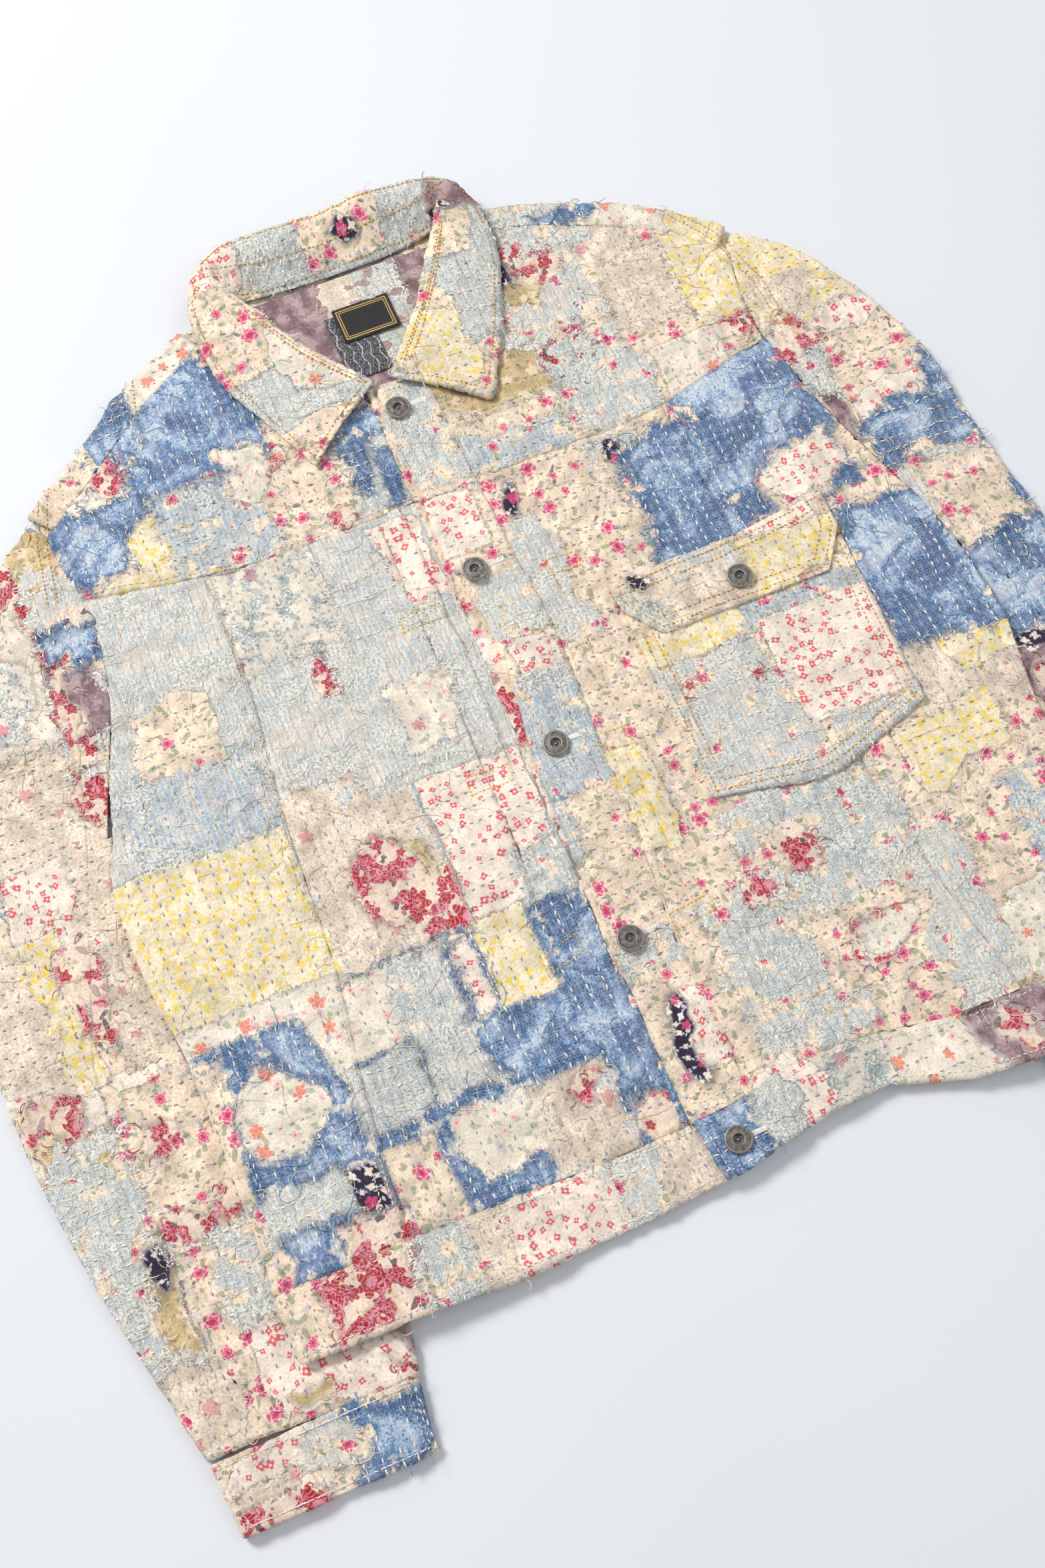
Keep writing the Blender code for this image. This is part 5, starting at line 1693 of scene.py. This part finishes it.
def lay_threads(name, rows, curl, material):
    if not len(rows):
        return
    mesh = bpy.data.meshes.new(name + "_points")
    mesh.from_pydata([tuple(row) for row in rows[:, :3] * MM], [], [])
    write_values(mesh, "heading", rows[:, 3])
    piece = grown(name, mesh, made_once("fray tree", fray_tree), {
        "Curl": curl, "Thread": material, "Seed": 4,
    }, material)


# Share of loose strands by the cloth under them, and their colours
STRANDS = {
    "stripe": (1.0, "thread"), "rib": (1.0, "thread"), "gauze": (1.0, "thread"),
    "indigo": (0.7, "indigo_pale"), "taupe": (0.9, "sand"), "rose": (0.3, "thread"),
    "twill": (0.3, "thread"), "teal": (0.4, "thread"), "crimson": (0.4, "sand"),
    "coral": (0.2, "thread"), "yellow": (0.15, "cream"), "mauve": (0.5, "thread"),
}
STRAND_STEP = 2.3
STRAND_RADIUS = 0.2 * MM
STRANDS_PER_AREA = 0.0024


def strand_tree():
    """A thin thread along each line."""
    tree, start, end = geometry_tree("Threads along lines", [
        ("Radius", "Float"), ("Thread", "Material"),
    ])
    curve = add(tree, "GeometryNodeMeshToCurve", {"Mesh": start["Geometry"]})
    circle = add(
        tree, "GeometryNodeCurvePrimitiveCircle",
        {"Resolution": 3, "Radius": start["Radius"]}, mode="RADIUS",
    )
    tube = add(tree, "GeometryNodeCurveToMesh", {
        "Curve": curve.outputs[0], "Profile Curve": circle.outputs[0], "Fill Caps": True,
    })
    coated(tree, end, tube.outputs[0], start["Thread"])
    return tree


def lines_mesh(name, lines):
    points, edges = [], []
    for line in lines:
        start = len(points)
        points.extend(map(tuple, np.asarray(line) * MM))
        edges.extend((index, index + 1) for index in range(start, len(points) - 1))
    mesh = bpy.data.meshes.new(name + "_lines")
    mesh.from_pydata(points, edges, [])
    return mesh


def strand_paths(area, chance):
    """Seeded wandering strands over an area, laid on the cloth, by colour."""
    made = {}
    for node in area.nodes:
        (x0, y0, _), (x1, y1, _) = (np.array(corner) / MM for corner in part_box(node))
        count = int((x1 - x0) * (y1 - y0) * STRANDS_PER_AREA)
        starts = np.column_stack([chance.uniform(x0, x1, count), chance.uniform(y0, y1, count)])
        _, top = patch_fields(area, starts)
        patches = all_patches(area)
        for place, index in zip(starts, top):
            fabric = area.base if index < 0 else patches[index].fabric
            share, colour = STRANDS.get(fabric, (0.0, "thread"))
            if chance.random() > share:
                continue
            heading, bend = chance.uniform(0, 2 * math.pi), chance.uniform(-0.3, 0.3)
            line = [place]
            for _ in range(int(chance.integers(5, 17))):
                bend = 0.75 * bend + chance.uniform(-0.28, 0.28)
                heading += bend
                way = np.array((math.cos(heading), math.sin(heading)))
                line.append(line[-1] + STRAND_STEP * way)
            line = np.array(line)
            lift = abs(chance.normal(0, 0.3))
            for run in draped_line(line, {node}):
                run[:, 2] += 0.2 + lift * np.sin(np.linspace(0, math.pi, len(run)))
                made.setdefault(colour, []).append(run)
    return made


class JACKET_OT_loose_strands(bpy.types.Operator):
    """Lays the long loose threads that wander over the worn cloth"""

    bl_idname = "jacket.loose_strands"
    bl_label = "Loose strands"

    def execute(self, context):
        chance = np.random.default_rng(41)
        found = {}
        for area in OPEN_AREAS:
            gather(found, strand_paths(area, chance))
        for colour, lines in found.items():
            name = "loose_strands_" + colour
            material = thread_material(name.replace("_", " "), colour_table()[colour])
            tree = made_once("strand tree", strand_tree)
            piece = grown(name, lines_mesh(name, lines), tree, {
                "Radius": STRAND_RADIUS, "Thread": material,
            }, material)
        return {"FINISHED"}


Hole = namedtuple("Hole", "x y length lean")
BAR_RADIUS = 0.26 * MM
BUTTONHOLES = (
    Hole(2, 267, 19, 0.05), Hole(3, 134, 19, 0.05), Hole(3, 1, 19, 0.08), Hole(-6, -133, 19, 0.1),
    Hole(2, -268, 16, 0.0), Hole(156, 64, 17, 1.45),
)


class JACKET_OT_buttonholes(bpy.types.Operator):
    """Sews the white bars of the buttonholes"""

    bl_idname = "jacket.buttonholes"
    bl_label = "Buttonholes"

    def execute(self, context):
        lines = []
        for hole in BUTTONHOLES:
            way = np.array((math.cos(hole.lean), math.sin(hole.lean)))
            side = np.array((-way[1], way[0]))
            for step in np.arange(6.5, hole.length, 0.42):
                middle = np.array((hole.x, hole.y)) + way * step
                rows = [middle + side * reach for reach in (-1.5, -0.8, 0.0, 0.8, 1.5)]
                for run in draped_line(np.array(rows)):
                    run[:, 2] += (0.15, 0.5, 0.3, 0.5, 0.15)[:len(run)]
                    lines.append(run)
        material = thread_material("Buttonhole thread", srgb(248, 247, 243), 0.9)
        tree = made_once("strand tree", strand_tree)
        piece = grown("buttonholes", lines_mesh("buttonholes", lines), tree, {
            "Radius": BAR_RADIUS, "Thread": material,
        }, material)
        return {"FINISHED"}


BUTTONS = ("button_1", "button_2", "button_3", "button_4", "button_5", "button_flap")
BUTTON_SIDES = 56
# Radius and height of a button's outline in millimetres, from its post to its shank
BUTTON_OUTLINE = (
    (0.0, 2.35), (0.55, 2.3), (0.85, 2.0), (0.95, 1.45), (2.3, 1.4), (2.75, 1.6), (3.0, 2.6),
    (3.2, 3.5), (3.6, 3.85), (4.2, 3.75), (6.4, 3.45), (7.1, 3.35), (7.35, 3.5), (7.9, 3.45),
    (8.35, 3.1), (8.5, 2.5), (8.35, 1.9), (7.9, 1.5), (6.5, 1.1), (2.6, 1.0), (2.4, 0.0),
    (0.0, 0.0),
)
# Marks in a button's ring, the ring's radius and its height
MARKS = 18
RING_RADIUS = 5.5 * MM
RING_HEIGHT = 3.55 * MM


def turned_mesh(outline, sides):
    """A closed shape turned round Z from radius and height pairs."""
    mesh = bmesh.new()
    rings = []
    for radius, height in outline:
        if radius == 0:
            rings.append([mesh.verts.new((0, 0, height * MM))] * sides)
            continue
        ring = []
        for side in range(sides):
            angle = 2 * math.pi * side / sides
            ring.append(mesh.verts.new((
                radius * math.cos(angle) * MM, radius * math.sin(angle) * MM, height * MM
            )))
        rings.append(ring)
    for inner, outer in zip(rings, rings[1:]):
        for side in range(sides):
            after = (side + 1) % sides
            corners = [inner[side], outer[side], outer[after], inner[after]]
            mesh.faces.new(list(dict.fromkeys(corners)))
    bmesh.ops.recalc_face_normals(mesh, faces=mesh.faces)
    made = bpy.data.meshes.new("turned")
    mesh.to_mesh(made)
    mesh.free()
    return made


def mark_tree():
    """Short raised marks in a ring on a button's face."""
    tree, start, end = geometry_tree("Ring of marks", [
        ("Radius", "Float"), ("Height", "Float"), ("Count", "Int"), ("Mark", "Object"),
        ("Metal", "Material"),
    ])
    ring = add(
        tree, "GeometryNodeCurvePrimitiveCircle", {"Radius": start["Radius"]},
        mode="RADIUS",
    )
    even = add(
        tree, "GeometryNodeResampleCurve",
        {"Curve": ring.outputs[0], "Count": start["Count"]}, mode="COUNT",
    )
    lift = add(tree, "ShaderNodeCombineXYZ", {2: start["Height"]})
    raised = add(tree, "GeometryNodeSetPosition", {
        "Geometry": even.outputs[0], "Offset": lift.outputs[0],
    })
    tangent = add(tree, "GeometryNodeInputTangent")
    turned = add(
        tree, "FunctionNodeAlignRotationToVector", {"Vector": tangent.outputs[0]},
        axis="X", pivot_axis="Z",
    )
    mark = add(tree, "GeometryNodeObjectInfo", {"Object": start["Mark"]})
    copies = add(tree, "GeometryNodeInstanceOnPoints", {
        "Points": raised.outputs[0], "Instance": mark.outputs["Geometry"],
        "Rotation": turned.outputs[0], "Scale": random_value(tree, 0.6, 1.1, 2),
    })
    both = add(tree, "GeometryNodeJoinGeometry", {0: start["Geometry"]})
    joined(tree, both.inputs[0], copies.outputs[0])
    coated(tree, end, both.outputs[0], start["Metal"])
    return tree


def metal_material():
    """Dark worn metal, brighter on its raised edges."""
    material, tree, surface = new_material("Dark worn metal")
    wear = noise_at(tree, in_plan(tree), 0.45, 4.0)
    shape = add(tree, "ShaderNodeNewGeometry")
    edge = ramp(tree, shape.outputs["Pointiness"], 0.48, 0.58)
    metal = colour_table()["metal"]
    deep = tuple(part * 0.45 for part in metal)
    bright = tuple(min(1.0, part * 2.0) for part in metal)
    colour = mixed(tree, ramp(tree, wear, 0.35, 0.65), deep, metal)
    given(tree, surface, {
        "Base Color": mixed(tree, part_of(tree, edge, 0.7), colour, bright),
        "Roughness": ramp(tree, wear, 0.3, 0.7, 0.38, 0.6), "Metallic": 0.6,
        "Normal": bumped(tree, wear, 0.3, 0.15),
    })
    return material


class JACKET_OT_buttons(bpy.types.Operator):
    """Makes the metal buttons"""

    bl_idname = "jacket.buttons"
    bl_label = "Buttons"

    def execute(self, context):
        material = metal_material()
        tick = np.array([(0, -0.9, 0), (0, -0.45, 0.1), (0, 0.45, 0.1), (0, 0.9, 0)]) * MM
        mark = thread_mesh("mark", tick, 0.22 * MM, 4)
        for name in BUTTONS:
            low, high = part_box(name)
            mesh = turned_mesh(BUTTON_OUTLINE, BUTTON_SIDES)
            piece = grown(name + "_metal", mesh, made_once("mark tree", mark_tree), {
                "Radius": RING_RADIUS, "Height": RING_HEIGHT, "Count": MARKS, "Mark": mark,
                "Metal": material,
            }, material)
            points = mesh_points(piece.data)
            lean = 0.06 * math.sin(17 * low[1] / MM)
            points[:, 2] += points[:, 0] * lean
            points += ((low[0] + high[0]) / 2, (low[1] + high[1]) / 2, low[2])
            piece.data.vertices.foreach_set("co", points.astype(np.float32).ravel())
            piece.data.update()
            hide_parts(name)
        return {"FINISHED"}


def label_material():
    """Black woven ground with two gold lines inside its edge."""
    material, tree, surface = new_material("Woven label")
    place = in_plan(tree)
    weave = weave_at(tree, place, 0.5, 0.7)
    rim = attribute(tree, "rim")
    lines = sums(tree, "MAXIMUM", picked(tree, rim, 1.9, 2.7), picked(tree, rim, 3.6, 4.2))
    gold = mixed(tree, weave["Threads"], srgb(182, 138, 70), srgb(226, 188, 112))
    fleck = ramp(tree, noise_at(tree, place, 1.6, 2.0), 0.3, 0.7)
    ground = mixed(tree, fleck, colour_table()["label"], srgb(42, 42, 46))
    height = plus(tree, lines, 0.6, weave["Height"])
    given(tree, surface, {
        "Base Color": mixed(tree, lines, ground, gold), "Roughness": 0.7,
        "Normal": bumped(tree, height, 0.7, 0.12),
    })
    return material


def strip_material():
    """Black cloth with white wavy lines, worn grey in streaks."""
    material, tree, surface = new_material("Black and white strip")
    place = in_plan(tree)
    x, y, _ = add(tree, "ShaderNodeSeparateXYZ", {0: place}).outputs
    sway = sums(tree, "SINE", part_of(tree, y, 0.42))
    waves = sums(tree, "SINE", part_of(tree, plus(tree, sway, 1.1, x), TURN / 6.4))
    waves = plus(tree, noise_at(tree, place, 1.1, 3.0), 0.8, waves)
    drawn = vectors(tree, "MULTIPLY", place, (2.6, 0.5, 1.0))
    grey = ramp(tree, noise_at(tree, drawn, 1.0, 2.0), 0.46, 0.62, 0.0, 0.85)
    colour = mixed(tree, grey, srgb(46, 46, 52), srgb(150, 150, 156))
    weave = weave_at(tree, place, 0.8, 0.0)
    given(tree, surface, {
        "Base Color": mixed(tree, ramp(tree, waves, 1.32, 1.42), colour, srgb(214, 212, 206)),
        "Normal": bumped(tree, weave["Height"], 0.7, 0.15), "Roughness": 0.9,
    })
    return material


def small_cloth(node_name, material, step, wave):
    """A small flat piece of cloth made from its solid, with its rim distance for the shader."""
    loops = rim_loops(node_name, 4)
    shell = merged_copy(frame["nodes"][node_name])
    split_long(shell, step * MM)
    mesh = bpy.data.meshes.new(node_name + "_cloth")
    shell.to_mesh(mesh)
    shell.free()
    points = mesh_points(mesh)
    normals = read_vectors(mesh.vertex_normals, "vector")
    lift = wave * (noise(points / MM, 9, 71) + 0.6 * noise(points / MM, 3, 72))
    points[:, 2] += np.where(normals[:, 2] > 0.2, lift, 0) * MM
    mesh.vertices.foreach_set("co", points.astype(np.float32).ravel())
    write_values(mesh, "rim", line_distance(points / MM, loops))
    mesh.update()
    piece = shown(node_name + "_cloth", mesh, material)
    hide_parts(node_name)
    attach(piece, "root")


class JACKET_OT_label(bpy.types.Operator):
    """Makes the plain black label and the strip under it"""

    bl_idname = "jacket.label"
    bl_label = "Label and strip"

    def execute(self, context):
        small_cloth("neck_label", label_material(), 1.2, 0.12)
        small_cloth("neck_strip", strip_material(), 2.0, 0.35)
        return {"FINISHED"}


CAMERA_PLACE = (-0.2052, -0.4342, 1.135)
CAMERA_HEADING = (0.3888, 0.9213)
CAMERA_DIP = math.radians(68)
FLOOR_HALF = 14.0
FLOOR_HEIGHT = -0.3 * MM


class JACKET_OT_stage(bpy.types.Operator):
    """Sets the white table, the soft light and the camera"""

    bl_idname = "jacket.stage"
    bl_label = "Stage"

    def execute(self, context):
        make_floor()
        make_light()
        make_camera()
        return {"FINISHED"}


def make_floor():
    mesh = bpy.data.meshes.new("floor")
    half, low = FLOOR_HALF, FLOOR_HEIGHT
    corners = [(-half, -half, low), (half, -half, low), (half, half, low), (-half, half, low)]
    mesh.from_pydata(corners, [], [(0, 1, 2, 3)])
    material, tree, surface = new_material("White table")
    place = add(tree, "ShaderNodeTexCoord").outputs["Object"]
    floor = colour_table()["floor"]
    shaded = tuple(part * 0.97 for part in floor)
    cloud = ramp(tree, noise_at(tree, place, 1.4, 2.0), 0.35, 0.65)
    given(tree, surface, {
        "Base Color": mixed(tree, cloud, shaded, floor), "Roughness": 0.8,
        "Normal": bumped(tree, noise_at(tree, place, 900.0, 1.0), 0.15, 0.2),
        "Specular IOR Level": 0.15,
    })
    piece = shown("floor", mesh, material)


def soft_light(name, place, width, power, tint):
    """A square light that is aimed at the origin."""
    data = bpy.data.lights.new(name, "AREA")
    data.shape = "SQUARE"
    data.size = width
    data.energy = power
    data.color = tint
    light = bpy.data.objects.new(name, data)
    light.location = place
    light.rotation_euler = (-Vector(place)).to_track_quat("-Z", "Y").to_euler()
    bpy.context.scene.collection.objects.link(light)


def make_light():
    scene = bpy.context.scene
    scene.view_settings.view_transform = "Standard"
    scene.view_settings.look = "None"
    world = bpy.data.worlds.new("Pale room")
    world.use_nodes = True
    background = world.node_tree.nodes["Background"]
    given(world.node_tree, background, {"Color": (0.94, 0.965, 1.0), "Strength": 0.54})
    scene.world = world
    soft_light("Window", (-1.3, 1.5, 2.2), 0.9, 74, (1.0, 0.975, 0.945))
    soft_light("Fill", (1.6, -0.8, 1.8), 1.6, 10, (0.95, 0.97, 1.0))


def make_camera():
    data = bpy.data.cameras.new("camera")
    data.lens = 45
    data.sensor_width = 36
    data.sensor_fit = "AUTO"
    data.clip_start = 0.01
    camera = bpy.data.objects.new("camera", data)
    camera.location = CAMERA_PLACE
    flat = math.cos(CAMERA_DIP)
    heading = Vector((
        CAMERA_HEADING[0] * flat, CAMERA_HEADING[1] * flat, -math.sin(CAMERA_DIP)
    ))
    camera.rotation_euler = heading.to_track_quat("-Z", "Y").to_euler()
    scene = bpy.context.scene
    scene.collection.objects.link(camera)
    scene.camera = camera


class JACKET_PT_pieces(bpy.types.Panel):
    """Lists the jacket's pieces, sizes and colours"""

    bl_label = "Patched jacket"
    bl_space_type = "VIEW_3D"
    bl_region_type = "UI"
    bl_category = "Jacket"

    def draw(self, context):
        layout = self.layout
        for operator in OPERATORS:
            layout.operator(operator.bl_idname)
        for holder in (context.scene.jacket_sizes, context.scene.jacket_colours):
            for name in type(holder).__annotations__:
                layout.prop(holder, name)


OPERATORS = (
    JACKET_OT_stage, JACKET_OT_body, JACKET_OT_plackets, JACKET_OT_sleeves,
    JACKET_OT_waistband, JACKET_OT_pocket, JACKET_OT_collar, JACKET_OT_buttons, JACKET_OT_label,
    JACKET_OT_running_stitches, JACKET_OT_topstitches, JACKET_OT_loose_threads,
    JACKET_OT_loose_strands, JACKET_OT_buttonholes,
)
CLASSES = (JacketSizes, JacketColours, *OPERATORS, JACKET_PT_pieces)


def register():
    for kind in CLASSES:
        bpy.utils.register_class(kind)
    bpy.types.Scene.jacket_sizes = bpy.props.PointerProperty(type=JacketSizes)
    bpy.types.Scene.jacket_colours = bpy.props.PointerProperty(type=JacketColours)


def unregister():
    del bpy.types.Scene.jacket_colours
    del bpy.types.Scene.jacket_sizes
    for kind in reversed(CLASSES):
        bpy.utils.unregister_class(kind)


def main():
    register()
    for operator in OPERATORS:
        family, name = operator.bl_idname.split(".")
        getattr(getattr(bpy.ops, family), name)()


if __name__ == "__main__":
    main()
